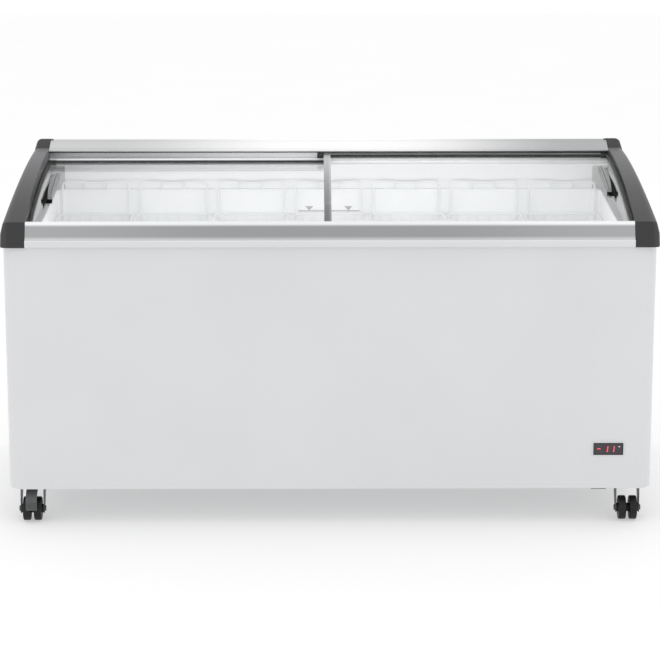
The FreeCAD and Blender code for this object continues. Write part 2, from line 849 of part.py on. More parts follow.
def handle_span(side):
    """Outer and inner edges of a handle, for the lid on this side."""
    outer = BOW_IN - HANDLE_IN
    inner = outer - HANDLE_WIDTH
    return sorted((side * inner, side * outer))


def handle_ends():
    front = FRONT + HANDLE_FRONT
    return front, front + HANDLE_LENGTH


def lid_span(side):
    """Left and right ends of a lid; both reach across the centre profile."""
    return (-LID_END, STILE_RIGHT) if side < 0 else (STILE_LEFT, LID_END)


def lid_front(side):
    """Front and back of the lid's nose, over its own track."""
    if side < 0:
        return STEP_Y + TRACK_CLEARANCE, TRACK_END - TRACK_CLEARANCE
    return RAIL_INNER + TRACK_CLEARANCE, STEP_Y - TRACK_CLEARANCE


def rear_profile_span():
    back = SLOT_BACK - REAR_PROFILE_PLAY
    return back - REAR_PROFILE_WIDTH, back


def lid_glass(side, radius):
    """Curved pane with a window for the pull handle."""
    left, right = lid_span(side)
    if side < 0:
        right -= PANE_INSET
    else:
        left += PANE_INSET
    front = lid_front(side)[0] + PANE_INSET
    back = rear_profile_span()[1] - PANE_INSET
    pane = band(radius - GLASS, radius, front, back, left, right)
    x0, x1 = handle_span(side)
    y0, y1 = handle_ends()
    window = box(
        x0 + HANDLE_RIM,
        x1 - HANDLE_RIM,
        y0 + HANDLE_RIM,
        y1 - HANDLE_RIM,
        BODY_TOP,
        2 * BODY_TOP,
    )
    return pane.cut(window)


def lid_front_profile(side, radius, pane):
    """Nose that rides in the front track and grips the glass."""
    y0, y1 = lid_front(side)
    top = arc_z(radius + NOSE_RISE, y0)
    bar = box(*lid_span(side), y0, y1, nose_bottom(radius, y1), top)
    return bar.cut(pane)


def lid_rear_profile(side, radius, pane):
    """Rear edge bar that slides in the rear rail's slot."""
    y0, y1 = rear_profile_span()
    bar = band(
        radius - GLASS - STILE_BELOW, radius + REAR_PROFILE_RISE, y0, y1, *lid_span(side)
    )
    return bar.cut(pane)


def lid_stile(side, radius, pane):
    """Profile on the edge where the two lids overlap."""
    below = STILE_BELOW if side > 0 else LOWER_STILE_BELOW
    y0 = lid_front(side)[1] + SEAM
    y1 = rear_profile_span()[0] - SEAM
    bar = band(radius - GLASS - below, radius + STILE_RISE, y0, y1, STILE_LEFT, STILE_RIGHT)
    return bar.cut(pane)


def lid_handle(side, radius):
    """Flush pull: flange on the glass, raised grip and a finger cup through it."""
    x0, x1 = handle_span(side)
    y0, y1 = handle_ends()
    under = radius - GLASS - STILE_BELOW
    inset = HANDLE_RIM + FIT
    flange = band(radius, radius + HANDLE_FLANGE, y0, y1, x0, x1)
    body = band(
        under, radius + HANDLE_FLANGE, y0 + inset, y1 - inset, x0 + inset, x1 - inset
    )
    grip_in = x0 + inset if side > 0 else x1 - inset - HANDLE_GRIP
    grip = band(
        under,
        radius + NOSE_RISE,
        y0 + GRIP_FRONT_INSET,
        y1 - GRIP_REAR_INSET,
        grip_in,
        grip_in + HANDLE_GRIP,
    )
    if side > 0:
        cup_x0, cup_x1 = grip_in + HANDLE_GRIP + CUP_WALL, x1 - inset - CUP_WALL
    else:
        cup_x0, cup_x1 = x0 + inset + CUP_WALL, grip_in - CUP_WALL
    cup = band(
        under + CUP_WALL,
        radius + 2 * NOSE_RISE,
        y0 + inset + CUP_WALL,
        y1 - inset - CUP_WALL,
        cup_x0,
        cup_x1,
    )
    return fused([flange, body, grip]).cut(cup)


# ------------------------------------------------------------------ baskets


def wire_bar(start, end, half):
    """Straight wire with a square section, for the collision shape."""
    low = [min(a, b) - half for a, b in zip(start, end)]
    high = [max(a, b) + half for a, b in zip(start, end)]
    return box(low[0], high[0], low[1], high[1], low[2], high[2])


def basket(index):
    """Open-topped basket with wire hangers that hook over both ledges."""
    pitch = 2 * LINER_X / BASKET_COUNT
    centre = -LINER_X + pitch * (index + 0.5)
    half = (pitch - BASKET_GAP) / 2
    rim = LEDGE - BASKET_RIM_BELOW_LEDGE
    bottom = rim - BASKET_DEPTH
    y0 = LINER_FRONT + BASKET_END_CLEARANCE
    y1 = LINER_REAR - BASKET_END_CLEARANCE
    outside = box(centre - half, centre + half, y0, y1, bottom, rim)
    inside = box(
        centre - half + BASKET_WALL,
        centre + half - BASKET_WALL,
        y0 + BASKET_WALL,
        y1 - BASKET_WALL,
        bottom + BASKET_WALL,
        rim + 1,
    )
    hook_z = LEDGE + HOOK_CLEARANCE + HOOK_WIRE
    reach = HANGER_WIDTH / 2
    low = rim - HANGER_LAP
    pieces = [outside.cut(inside)]
    for wall, outward, top in ((y0, -1, hook_z), (y1, 1, LEDGE + HANGER_ABOVE_LEDGE)):
        y = wall + outward * (WIRE - WELD)
        for side in (-1, 1):
            x = centre + side * reach
            pieces.append(wire_bar((x, y, low), (x, y, top), WIRE))
        for z in sorted({hook_z, top}):
            pieces.append(wire_bar((centre - reach, y, z), (centre + reach, y, z), HOOK_WIRE))
        ledge_edge = LINER_FRONT if outward < 0 else LINER_REAR
        end = ledge_edge + outward * HOOK_REACH
        for side in (-1, 1):
            x = centre + side * HOOK_SPREAD
            pieces.append(wire_bar((x, y, hook_z), (x, end, hook_z), HOOK_WIRE))
    return fused(pieces)


# --------------------------------------------------------------- thermostat


def panel_block(width, height, y0, y1):
    return box(
        PANEL_X - width / 2,
        PANEL_X + width / 2,
        y0,
        y1,
        PANEL_Z - height / 2,
        PANEL_Z + height / 2,
    )


def thermostat_housing():
    """Box behind the front skin that holds the display board."""
    width = CUTOUT_WIDTH - 2 * FIT
    height = CUTOUT_HEIGHT - 2 * FIT
    shell = panel_block(width, height, FRONT, FRONT + HOUSING_DEPTH)
    hollow = panel_block(
        width - 2 * HOUSING_WALL,
        height - 2 * HOUSING_WALL,
        FRONT - 1,
        FRONT + HOUSING_DEPTH - HOUSING_WALL,
    )
    return shell.cut(hollow)


def thermostat_bezel():
    """Thin border that laps the cut-out."""
    frame = panel_block(BEZEL_WIDTH, BEZEL_HEIGHT, FRONT - BEZEL_DEPTH, FRONT)
    opening = panel_block(
        BEZEL_WIDTH - 2 * BEZEL_BORDER,
        BEZEL_HEIGHT - 2 * BEZEL_BORDER,
        FRONT - 2 * BEZEL_DEPTH,
        FRONT + 1,
    )
    return frame.cut(opening)


def thermostat_window():
    """Dark display window inside the border."""
    return panel_block(
        BEZEL_WIDTH - 2 * BEZEL_BORDER - 2 * FIT,
        BEZEL_HEIGHT - 2 * BEZEL_BORDER - 2 * FIT,
        FRONT - BEZEL_DEPTH + WINDOW_SETBACK,
        FRONT,
    )


# -------------------------------------------------------------- machine bay


def compressor():
    """Welded steel shell on a foot plate, with its terminal cover."""
    up = V(0, 0, 1)
    centre = V(COMPRESSOR_X, COMPRESSOR_Y, COMPRESSOR_FOOT + FOOT_PLATE)
    shell = cylinder(centre, up, COMPRESSOR_RADIUS, COMPRESSOR_HEIGHT)
    rims = [e for e in shell.Edges if e.Closed]
    shell = shell.makeFillet(COMPRESSOR_DOME, rims)
    weld_at = centre + up * (COMPRESSOR_HEIGHT * WELD_LEVEL)
    weld = cylinder(weld_at, up, COMPRESSOR_RADIUS + WELD_PROUD, WELD_BAND)
    half = FOOT_SPACING / 2 + FOOT_MARGIN
    half_depth = FOOT_DEPTH_SPACING / 2 + FOOT_MARGIN
    plate = box(
        COMPRESSOR_X - half,
        COMPRESSOR_X + half,
        COMPRESSOR_Y - half_depth,
        COMPRESSOR_Y + half_depth,
        COMPRESSOR_FOOT,
        COMPRESSOR_FOOT + FOOT_PLATE,
    )
    cover = box(
        COMPRESSOR_X - COMPRESSOR_RADIUS - TERMINAL_PROUD,
        COMPRESSOR_X - COMPRESSOR_RADIUS + TERMINAL_SUNK,
        COMPRESSOR_Y - TERMINAL_WIDTH / 2,
        COMPRESSOR_Y + TERMINAL_WIDTH / 2,
        COMPRESSOR_FOOT + TERMINAL_RISE,
        COMPRESSOR_FOOT + TERMINAL_RISE + TERMINAL_HEIGHT,
    )
    return fused([shell, weld, plate, cover])


def compressor_grommets():
    """Four rubber feet between the foot plate and the base pan."""
    feet = []
    for dx in (-FOOT_SPACING / 2, FOOT_SPACING / 2):
        for dy in (-FOOT_DEPTH_SPACING / 2, FOOT_DEPTH_SPACING / 2):
            place = V(COMPRESSOR_X + dx, COMPRESSOR_Y + dy, BODY_BOTTOM + PAN_SHEET)
            feet.append(cylinder(place, V(0, 0, 1), GROMMET_RADIUS, GROMMET_HEIGHT))
    return feet


def condenser_span():
    """Left and right ends of the condenser's tubes."""
    half = CONDENSER_PITCH * CONDENSER_FINS / 2
    return FAN_X - half, FAN_X + half


def condenser_coil():
    """Finned tube pack in front of the fan."""
    left, right = condenser_span()
    y0 = CONDENSER_Y - CONDENSER_DEPTH / 2
    low = FAN_Z - FIN_HEIGHT / 2
    pieces = []
    for i in range(CONDENSER_FINS):
        x = left + (i + 0.5) * CONDENSER_PITCH
        pieces.append(box(x, x + FIN_SHEET, y0, y0 + CONDENSER_DEPTH, low, low + FIN_HEIGHT))
    for row in range(CONDENSER_ROWS):
        z = FAN_Z + (row - (CONDENSER_ROWS - 1) / 2) * CONDENSER_ROW_PITCH
        start = V(left, CONDENSER_Y, z)
        pieces.append(cylinder(start, V(1, 0, 0), CONDENSER_TUBE, right - left))
    return fused(pieces)


def fan_shroud():
    """Plate with a round opening that carries the motor on two arms."""
    left, right = FAN_X - SHROUD_HALF, FAN_X + SHROUD_HALF
    plate = box(
        left,
        right,
        FAN_Y - SHROUD_SHEET,
        FAN_Y,
        BODY_BOTTOM + PAN_SHEET,
        FAN_Z + SHROUD_HALF,
    )
    ahead = V(FAN_X, FAN_Y - 2 * SHROUD_SHEET, FAN_Z)
    opening = cylinder(ahead, V(0, 1, 0), FAN_OPENING, 4 * SHROUD_SHEET)
    pieces = [plate.cut(opening)]
    for z in (FAN_Z - ARM_SPACING / 2, FAN_Z + ARM_SPACING / 2):
        low, high = z - ARM_WIDTH / 2, z + ARM_WIDTH / 2
        pieces.append(box(left, right, FAN_Y, FAN_Y + SHROUD_SHEET, low, high))
    return fused(pieces)


def fan_motor():
    """Shaded-pole motor behind the blades, with its shaft."""
    half = MOTOR_SIZE / 2
    front = FAN_Y + SHROUD_SHEET
    body = box(
        FAN_X - half, FAN_X + half, front, front + MOTOR_DEPTH, FAN_Z - half, FAN_Z + half
    )
    shaft = cylinder(V(FAN_X, front, FAN_Z), V(0, -1, 0), SHAFT_RADIUS, SHAFT_LENGTH)
    return fused([body, shaft])


def fan_blade():
    """Hub with pitched blades that turns on the motor's shaft."""
    front = V(FAN_X, FAN_Y - HUB_AHEAD, FAN_Z)
    pieces = [cylinder(front, V(0, 1, 0), HUB_SIZE, HUB_LENGTH)]
    chord = BLADE_CHORD / 2
    thick = BLADE_SHEET / 2
    for i in range(FAN_BLADES):
        blade = box(-chord, chord, -thick, thick, BLADE_ROOT, FAN_RADIUS)
        blade.rotate(V(0, 0, 0), V(0, 0, 1), BLADE_PITCH)
        blade.rotate(V(0, 0, 0), V(0, 1, 0), 360.0 * i / FAN_BLADES)
        blade.translate(front + V(0, HUB_LENGTH / 2, 0))
        pieces.append(blade)
    start = front - V(0, HUB_LENGTH, 0)
    bore = cylinder(start, V(0, 1, 0), SHAFT_RADIUS + SHAFT_CLEARANCE, 3 * HUB_LENGTH)
    return fused(pieces).cut(bore)


def filter_drier():
    """Capsule in the liquid line."""
    start = V(DRIER_X, DRIER_REAR, DRIER_Z)
    barrel = cylinder(start, V(0, -1, 0), DRIER_RADIUS, DRIER_LENGTH)
    return barrel.makeFillet(DRIER_ROUND, [e for e in barrel.Edges if e.Closed])


def refrigerant_lines():
    """Copper lines: discharge, suction and liquid."""
    x, y = COMPRESSOR_X + PORT_OFFSET, COMPRESSOR_Y
    top = COMPRESSOR_TOP + DISCHARGE_RISE
    inlet = FAN_Z - CONDENSER_ROW_PITCH / 2
    discharge = tube(
        [
            (x, y, COMPRESSOR_TOP),
            (x, y, top),
            (x, CONDENSER_Y, top),
            (x, CONDENSER_Y, inlet),
            (condenser_span()[1], CONDENSER_Y, inlet),
        ],
        LINE_BEND,
        LINE_RADIUS,
    )
    x = COMPRESSOR_X - PORT_OFFSET
    top = COMPRESSOR_TOP + SUCTION_RISE
    bulkhead = BAY_X + BULKHEAD_GAP
    suction = tube(
        [
            (x, y, COMPRESSOR_TOP),
            (x, y, top),
            (x, y + SUCTION_RUN, top),
            (bulkhead, y + SUCTION_RUN, top),
        ],
        LINE_BEND,
        SUCTION_RADIUS,
    )
    turn = DRIER_REAR + LIQUID_RUN
    liquid = tube(
        [(DRIER_X, DRIER_REAR, DRIER_Z), (DRIER_X, turn, DRIER_Z), (bulkhead, turn, DRIER_Z)],
        LINE_BEND,
        LINE_RADIUS,
    )
    return discharge, suction, liquid


def evaporator_coil():
    """Tube bonded round three walls of the liner, buried in the foam."""
    gap = LINER_SHEET + EVAPORATOR_TUBE + EVAPORATOR_GAP
    left = -LINER_X - gap
    right = HUMP_X - EVAPORATOR_FROM_HUMP
    front = LINER_FRONT - gap
    rear = LINER_REAR + gap
    top = BODY_TOP - EVAPORATOR_INSET
    step = (top - LINER_FLOOR - EVAPORATOR_INSET) / (EVAPORATOR_LEVELS - 1)
    points = []
    for level in range(EVAPORATOR_LEVELS):
        z = top - level * step
        run = [(right, front, z), (left, front, z), (left, rear, z), (right, rear, z)]
        points += run if level % 2 == 0 else run[::-1]
    return tube(points, EVAPORATOR_BEND, EVAPORATOR_TUBE)


def vent_grille():
    """Slotted cover over the opening in the back."""
    right = VENT_LEFT + VENT_WIDTH
    plate = box(
        VENT_LEFT - VENT_LAP,
        right + VENT_LAP,
        REAR,
        REAR + VENT_SHEET,
        VENT_BOTTOM - VENT_LAP,
        VENT_BOTTOM + VENT_HEIGHT + VENT_LAP,
    )
    pitch = VENT_HEIGHT / VENT_SLOTS
    for row in range(VENT_SLOTS):
        z = VENT_BOTTOM + (row + 0.25) * pitch
        slot = box(
            VENT_LEFT + VENT_SLOT_INSET,
            right - VENT_SLOT_INSET,
            REAR - 1,
            REAR + VENT_SHEET + 1,
            z,
            z + pitch / 2,
        )
        plate = plate.cut(slot)
    return plate


def cord_gland():
    """Bushing in the back for a mains lead."""
    back = V(GLAND_X, REAR, GLAND_Z)
    collar = cylinder(back, V(0, -1, 0), GLAND_RADIUS - FIT, GLAND_COLLAR)
    flange = cylinder(back, V(0, 1, 0), GLAND_RADIUS + GLAND_FLANGE_LAP, GLAND_FLANGE)
    inside = back - V(0, 2 * GLAND_COLLAR, 0)
    bore = cylinder(inside, V(0, 1, 0), GLAND_BORE, 4 * GLAND_COLLAR)
    return fused([collar, flange]).cut(bore)


# -------------------------------------------------------------------- drain


def drain_run(radius):
    """The drain pipe's path from the liner floor to the outlet, at this radius."""
    low = BODY_BOTTOM + PAN_SHEET + PIPE_RISE
    return tube(
        [
            (DRAIN_X, DRAIN_Y, LINER_FLOOR - LINER_SHEET - SEAM),
            (DRAIN_X, DRAIN_Y, low),
            (SPOUT_X, DRAIN_Y, low),
            (SPOUT_X, SPOUT_Y, low),
            (SPOUT_X, SPOUT_Y, BODY_BOTTOM + PAN_SHEET),
        ],
        PIPE_BEND,
        radius,
    )


def drain_spout():
    """Drain pipe and its closed outlet under the front edge."""
    cap = box(
        SPOUT_X - SPOUT_WIDTH / 2,
        SPOUT_X + SPOUT_WIDTH / 2,
        SPOUT_Y - SPOUT_DEPTH / 2,
        SPOUT_Y + SPOUT_DEPTH / 2,
        BODY_BOTTOM - SPOUT_DROP,
        BODY_BOTTOM,
    )
    return drain_run(PIPE_RADIUS), cap


def drain_plug():
    """Rubber bung in the liner floor, with a pull tab."""
    centre = V(DRAIN_X, DRAIN_Y, LINER_FLOOR)
    flange = cylinder(centre, V(0, 0, 1), DRAIN_FLANGE, DRAIN_FLANGE_SHEET)
    stem = cylinder(centre, V(0, 0, -1), DRAIN_RADIUS - SEAM, LINER_SHEET)
    tab = box(
        DRAIN_X - TAB_WIDTH / 2,
        DRAIN_X + TAB_WIDTH / 2,
        DRAIN_Y - TAB_SHEET / 2,
        DRAIN_Y + TAB_SHEET / 2,
        LINER_FLOOR,
        LINER_FLOOR + TAB_HEIGHT,
    )
    return fused([flange, stem, tab])


# ------------------------------------------------------------------ casters


def caster_places():
    """Swivel centres by name; the trail of each points away from the middle."""
    x = BOW_OUT - CASTER_FROM_SIDE
    y = REAR - CASTER_FROM_FRONT
    return {
        "front_left": (-x, -y, -1),
        "front_right": (x, -y, -1),
        "rear_left": (-x, y, 1),
        "rear_right": (x, y, 1),
    }


def bolt_places():
    """Centres of the four bolts through each caster plate."""
    half = BOLT_SPACING / 2
    return [
        (x + dx * half, y + dy * half)
        for x, y, _ in caster_places().values()
        for dx in (-1, 1)
        for dy in (-1, 1)
    ]


def caster_plate(x, y):
    """Square top plate with the fixed half of the ball race."""
    half = PLATE_SIZE / 2
    under = BODY_BOTTOM - PLATE_THICK
    plate = rounded_block(x - half, x + half, y - half, y + half, under, BODY_BOTTOM, PLATE_ROUND)
    for bx, by in bolt_places():
        if abs(bx - x) < half and abs(by - y) < half:
            plate = plate.cut(cylinder(V(bx, by, 0), V(0, 0, 1), BOLT_RADIUS, BODY_BOTTOM + 1))
    race = cylinder(V(x, y, under), V(0, 0, -1), RACE_RADIUS, RACE_HEIGHT)
    return fused([plate, race])


def caster_bolts():
    """Bolts through the plates and the base pan."""
    bolts = []
    for x, y in bolt_places():
        foot = BODY_BOTTOM - PLATE_THICK
        grip = PLATE_THICK + PAN_SHEET
        shank = cylinder(V(x, y, foot), V(0, 0, 1), BOLT_RADIUS - BOLT_CLEARANCE, grip)
        head = cylinder(V(x, y, foot), V(0, 0, -1), BOLT_HEAD, BOLT_HEAD_HEIGHT)
        bolts.append(fused([shank, head]))
    return bolts


def fork_top():
    return BODY_BOTTOM - PLATE_THICK - RACE_HEIGHT - SEAM


def caster_fork(x, y, trail):
    """Pressed steel fork and its riveted axle."""
    half = PLATE_SIZE / 2
    shoulder = half - FORK_SHOULDER
    top = fork_top()
    axle_y = y + trail * FORK_TRAIL
    low = WHEEL_RADIUS - FORK_EAR
    outline = [
        (y - shoulder, top),
        (y + shoulder, top),
        (y + shoulder, top - FORK_SKIRT),
        (axle_y + FORK_EAR, low),
        (axle_y - FORK_EAR, low),
        (y - shoulder, top - FORK_SKIRT),
    ]
    inner = box(
        x - half + FORK_SHEET,
        x + half - FORK_SHEET,
        y - 2 * PLATE_SIZE,
        y + 2 * PLATE_SIZE,
        0,
        top - FORK_SHEET,
    )
    start = V(x - half - NUT_HEIGHT, axle_y, WHEEL_RADIUS)
    rod = cylinder(start, V(1, 0, 0), AXLE_RADIUS, PLATE_SIZE + 2 * NUT_HEIGHT)
    fork = profile(outline, x - half, x + half).cut(inner).cut(rod)
    nuts = [
        cylinder(V(x + s * half, axle_y, WHEEL_RADIUS), V(s, 0, 0), NUT_RADIUS, NUT_HEIGHT)
        for s in (-1, 1)
    ]
    return fork, fused([rod] + nuts)


def caster_wheels(x, y, trail):
    """The twin wheels of one caster, bored for the axle."""
    axle_y = y + trail * FORK_TRAIL
    leg = PLATE_SIZE / 2 - FORK_SHEET - SIDE_PLAY
    wheels = []
    for side in (-1, 1):
        inner = WHEEL_GAP / 2
        start = V(x + side * inner, axle_y, WHEEL_RADIUS)
        tread = cylinder(start, V(side, 0, 0), WHEEL_RADIUS, WHEEL_WIDTH)
        tread = tread.makeFillet(TREAD_ROUND, [e for e in tread.Edges if e.Closed])
        hub_start = V(x + side * SIDE_PLAY, axle_y, WHEEL_RADIUS)
        hub = cylinder(hub_start, V(side, 0, 0), HUB_RADIUS, leg - SIDE_PLAY)
        bore = cylinder(
            V(x, axle_y, WHEEL_RADIUS), V(side, 0, 0), AXLE_RADIUS + AXLE_CLEARANCE, PLATE_SIZE
        )
        wheels.append(fused([tread, hub]).cut(bore))
    return wheels


def brake_pedal(x, y, trail):
    """Foot lever hung on the front of a fork, over the twin wheels."""
    reach = FORK_TRAIL + WHEEL_RADIUS + PEDAL_GAP
    pivot = PLATE_SIZE / 2 - FORK_SHOULDER + PEDAL_PIVOT_GAP
    top = fork_top() - PEDAL_TOP_GAP
    hip = fork_top() - PEDAL_HIP_DROP
    root = top - PEDAL_ROOT
    outline = [
        (pivot, top),
        (pivot + PEDAL_ROOT_REACH, top),
        (reach + PEDAL_THICK, hip),
        (reach + PEDAL_THICK, PEDAL_BOTTOM),
        (reach, PEDAL_BOTTOM),
        (reach, hip - PEDAL_BEND_DROP),
        (pivot + PEDAL_ROOT, root),
        (pivot, root),
    ]
    placed = [(y + trail * out, z) for out, z in outline]
    return profile(placed, x - PEDAL_WIDTH / 2, x + PEDAL_WIDTH / 2)


def main():
    os.makedirs("parts", exist_ok=True)

    save("outer_wrap", outer_wrap())
    save("rear_panel", rear_panel())
    save("base_pan", base_pan())
    save("inner_liner", inner_liner())
    save("foam_insulation", *foam_insulation())
    save("collar_frame", collar_frame())

    for name, piece in (("bow", bow()), ("rear_cap", rear_cap()), ("side_lining", side_lining())):
        save(name + "_right", piece)
        save(name + "_left", mirrored(piece))
    save("front_trim", front_trim())
    save("front_rail", front_rail())
    save("rear_rail", rear_rail())

    for name, side, radius in (("left", -1, LOWER_GLASS_R), ("right", 1, UPPER_GLASS_R)):
        pane = lid_glass(side, radius)
        save("lid_glass_" + name, pane)
        save("lid_front_profile_" + name, lid_front_profile(side, radius, pane))
        save("lid_rear_profile_" + name, lid_rear_profile(side, radius, pane))
        save("lid_stile_" + name, lid_stile(side, radius, pane))
        save("lid_handle_" + name, lid_handle(side, radius))

    for index in range(BASKET_COUNT):
        save("basket_" + str(index + 1), basket(index))

    save("thermostat_housing", thermostat_housing())
    save("thermostat_bezel", thermostat_bezel())
    save("thermostat_window", thermostat_window())

    save("compressor", compressor())
    save("compressor_grommets", *compressor_grommets())
    save("condenser_coil", condenser_coil())
    save("fan_shroud", fan_shroud())
    save("fan_motor", fan_motor())
    save("fan_blade", fan_blade())
    save("filter_drier", filter_drier())
    save("refrigerant_lines", *refrigerant_lines())
    save("evaporator_coil", evaporator_coil())
    save("vent_grille", vent_grille())
    save("cord_gland", cord_gland())
    save("drain_spout", *drain_spout())
    save("drain_plug", drain_plug())

    places = caster_places()
    save("caster_plates", *[caster_plate(x, y) for x, y, _ in places.values()])
    save("caster_bolts", *caster_bolts())
    for name, (x, y, trail) in places.items():
        save("caster_fork_" + name, *caster_fork(x, y, trail))
        save("caster_wheels_" + name, *caster_wheels(x, y, trail))
    for name in ("front_left", "rear_right"):
        save("brake_pedal_" + name, brake_pedal(*places[name]))


main()
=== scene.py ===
import math

import bmesh
import bpy
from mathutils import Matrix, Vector


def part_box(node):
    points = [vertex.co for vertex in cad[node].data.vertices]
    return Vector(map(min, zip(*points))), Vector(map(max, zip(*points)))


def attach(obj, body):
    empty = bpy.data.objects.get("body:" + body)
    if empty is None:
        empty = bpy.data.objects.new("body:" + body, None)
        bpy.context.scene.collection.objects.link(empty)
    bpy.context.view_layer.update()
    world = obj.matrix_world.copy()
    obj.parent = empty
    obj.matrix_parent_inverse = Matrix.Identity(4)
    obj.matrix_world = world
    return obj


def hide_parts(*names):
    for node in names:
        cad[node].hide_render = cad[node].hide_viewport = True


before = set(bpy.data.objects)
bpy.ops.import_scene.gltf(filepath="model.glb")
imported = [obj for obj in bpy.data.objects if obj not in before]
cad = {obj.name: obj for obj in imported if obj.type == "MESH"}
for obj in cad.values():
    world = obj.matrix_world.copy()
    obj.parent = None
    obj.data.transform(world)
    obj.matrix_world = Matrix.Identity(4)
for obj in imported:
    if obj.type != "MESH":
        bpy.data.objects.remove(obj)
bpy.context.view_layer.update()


# ---------------------------------------------------------------- sheet body
# The body is wrapped in thin steel sheet with a white powder coat, bent round wide corners.
# It stands on a galvanised pan and is closed behind by a screwed galvanised sheet.


class Finish:
    """One value in a finish's node tree; + - * / on values add Math nodes."""

    def __init__(self, tree, socket):
        self.tree = tree
        self.socket = socket

    def make(self, kind, settings=None, inputs=None, out=0):
        node = self.tree.nodes.new("ShaderNode" + kind)
        for name, value in (settings or {}).items():
            setattr(node, name, value)
        for name, value in (inputs or {}).items():
            plug = node.inputs[name]
            if isinstance(value, Finish):
                self.tree.links.new(value.socket, plug)
            else:
                plug.default_value = value
        return Finish(self.tree, node.outputs[out])

    def maths(self, operation, first, second=None):
        inputs = {0: first} if second is None else {0: first, 1: second}
        return self.make("Math", {"operation": operation}, inputs)

    def __add__(self, other):
        return self.maths("ADD", self, other)

    def __sub__(self, other):
        return self.maths("SUBTRACT", self, other)

    def __mul__(self, other):
        return self.maths("MULTIPLY", self, other)

    def __rsub__(self, other):
        return self.maths("SUBTRACT", other, self)

    __radd__ = __add__
    __rmul__ = __mul__

    def band(self, low, high):
        """0 below low, 1 above high, smooth between."""
        return self.make(
            "MapRange",
            {"interpolation_type": "SMOOTHSTEP"},
            {"Value": self, "From Min": low, "From Max": high},
        )

    def tint(self, base, other):
        """Goes from one colour to another as this value goes from 0 to 1."""
        pair = [(*c, 1.0) if isinstance(c, tuple) else c for c in (base, other)]
        return self.make("Mix", {"data_type": "RGBA"}, {0: self, 6: pair[0], 7: pair[1]}, out=2)

    def place(self):
        return self.make("TexCoord", out=3)

    def along(self, axis):
        """Metres along one axis, 0 for X, 1 for Y or 2 for Z."""
        return self.make("SeparateXYZ", {}, {"Vector": self.place()}, out=axis)

    def stretched(self, scale):
        """Position on the piece in metres, stretched along each axis."""
        return self.make("Mapping", {}, {"Vector": self.place(), "Scale": scale})

    def noise(self, scale, detail=2.0, stretch=(1, 1, 1)):
        where = self.stretched(stretch)
        return self.make("TexNoise", {}, {"Vector": where, "Scale": scale, "Detail": detail})

    def bump(self, height, strength, depth):
        return self.make("Bump", {}, {"Height": height, "Strength": strength, "Distance": depth})

    def outer_corner_mask(self, reach):
        """1 at outer corners of the piece, 0 on flat faces."""
        bevel = self.make("Bevel", {"samples": 4}, {"Radius": reach})
        normal = self.make("NewGeometry", out=1)
        dot = self.make("VectorMath", {"operation": "DOT_PRODUCT"}, {0: bevel, 1: normal}, out=1)
        return 1 - dot.band(0.90, 1.0)


def new_finish(name):
    """A new material and a starting value in its tree; its surface starts empty."""
    material = bpy.data.materials.new(name)
    material.use_nodes = True
    material.node_tree.nodes.clear()
    return material, Finish(material.node_tree, None)


def surface(value, shader):
    """Ends a finish with this shader, or with a principled one that has these inputs."""
    if isinstance(shader, dict):
        shader = value.make("BsdfPrincipled", {}, shader)
    end = value.tree.nodes.new("ShaderNodeOutputMaterial")
    value.tree.links.new(shader.socket, end.inputs["Surface"])


def paint(node, material):
    """Gives a made node or new piece one finish all over."""
    thing = cad[node] if isinstance(node, str) else node
    thing.data.materials.clear()
    thing.data.materials.append(material)


WHITE_COAT = (0.70, 0.705, 0.72)

white_coat, t = new_finish("white powder coat")
cloudy = t.noise(3.0, 3.0).band(0.35, 0.7)
peel = t.noise(900.0, 1.0)
surface(t, {
    "Base Color": cloudy.tint(WHITE_COAT, (0.685, 0.69, 0.705)),
    "Roughness": 0.34 + cloudy * 0.06,
    "Coat Weight": 0.25,
    "Coat Roughness": 0.18,
    "Normal": t.bump(peel, 0.12, 0.0004),
})
paint("outer_wrap", white_coat)

ZINC = (0.50, 0.51, 0.53)
ZINC_DARK = (0.43, 0.44, 0.46)

galvanised, t = new_finish("galvanised sheet")
flakes = t.make("TexVoronoi", {}, {"Vector": t.place(), "Scale": 260.0}, out=1)
flake_tone = t.make("SeparateColor", {}, {"Color": flakes})
surface(t, {
    "Base Color": flake_tone.tint(ZINC_DARK, ZINC),
    "Metallic": 0.85,
    "Roughness": 0.36 + flake_tone * 0.10,
    "Normal": t.bump(t.noise(260.0, 2.0), 0.1, 0.0005),
})
paint("rear_panel", galvanised)
paint("base_pan", galvanised)


def mesh_piece(name, make_shape, finish, body, smooth=None):
    """A new piece built in a bmesh, finished, and riding on a body."""
    shape = bmesh.new()
    make_shape(shape)
    bmesh.ops.recalc_face_normals(shape, faces=shape.faces)
    data = bpy.data.meshes.new(name)
    shape.to_mesh(data)
    shape.free()
    piece = bpy.data.objects.new(name, data)
    bpy.context.scene.collection.objects.link(piece)
    if smooth is not None:
        data.shade_smooth()
        data.set_sharp_from_angle(angle=math.radians(smooth))
    paint(piece, finish)
    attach(piece, body)
    return piece


def lathe(shape, centre, axis, outline, turns=32):
    """Revolves (along, radius) points about an axis through centre."""
    axis = Vector(axis).normalized()
    across = axis.orthogonal().normalized()
    up = axis.cross(across)
    rings = []
    for along, radius in outline:
        ring = []
        for i in range(turns):
            angle = 2 * math.pi * i / turns
            spoke = across * math.cos(angle) + up * math.sin(angle)
            ring.append(shape.verts.new(Vector(centre) + axis * along + spoke * radius))
        rings.append(ring)
    for low, high in zip(rings, rings[1:]):
        for i in range(turns):
            j = (i + 1) % turns
            shape.faces.new((low[i], low[j], high[j], high[i]))
    shape.faces.new(rings[0][::-1])
    shape.faces.new(rings[-1])


SCREW_HEAD = 0.0042
SCREW_RISE = 0.0018
SCREW_IN = 0.012
SCREWS_ALONG = 10
SCREWS_UP = 5
SCREW_PITCH_UP = 0.1252

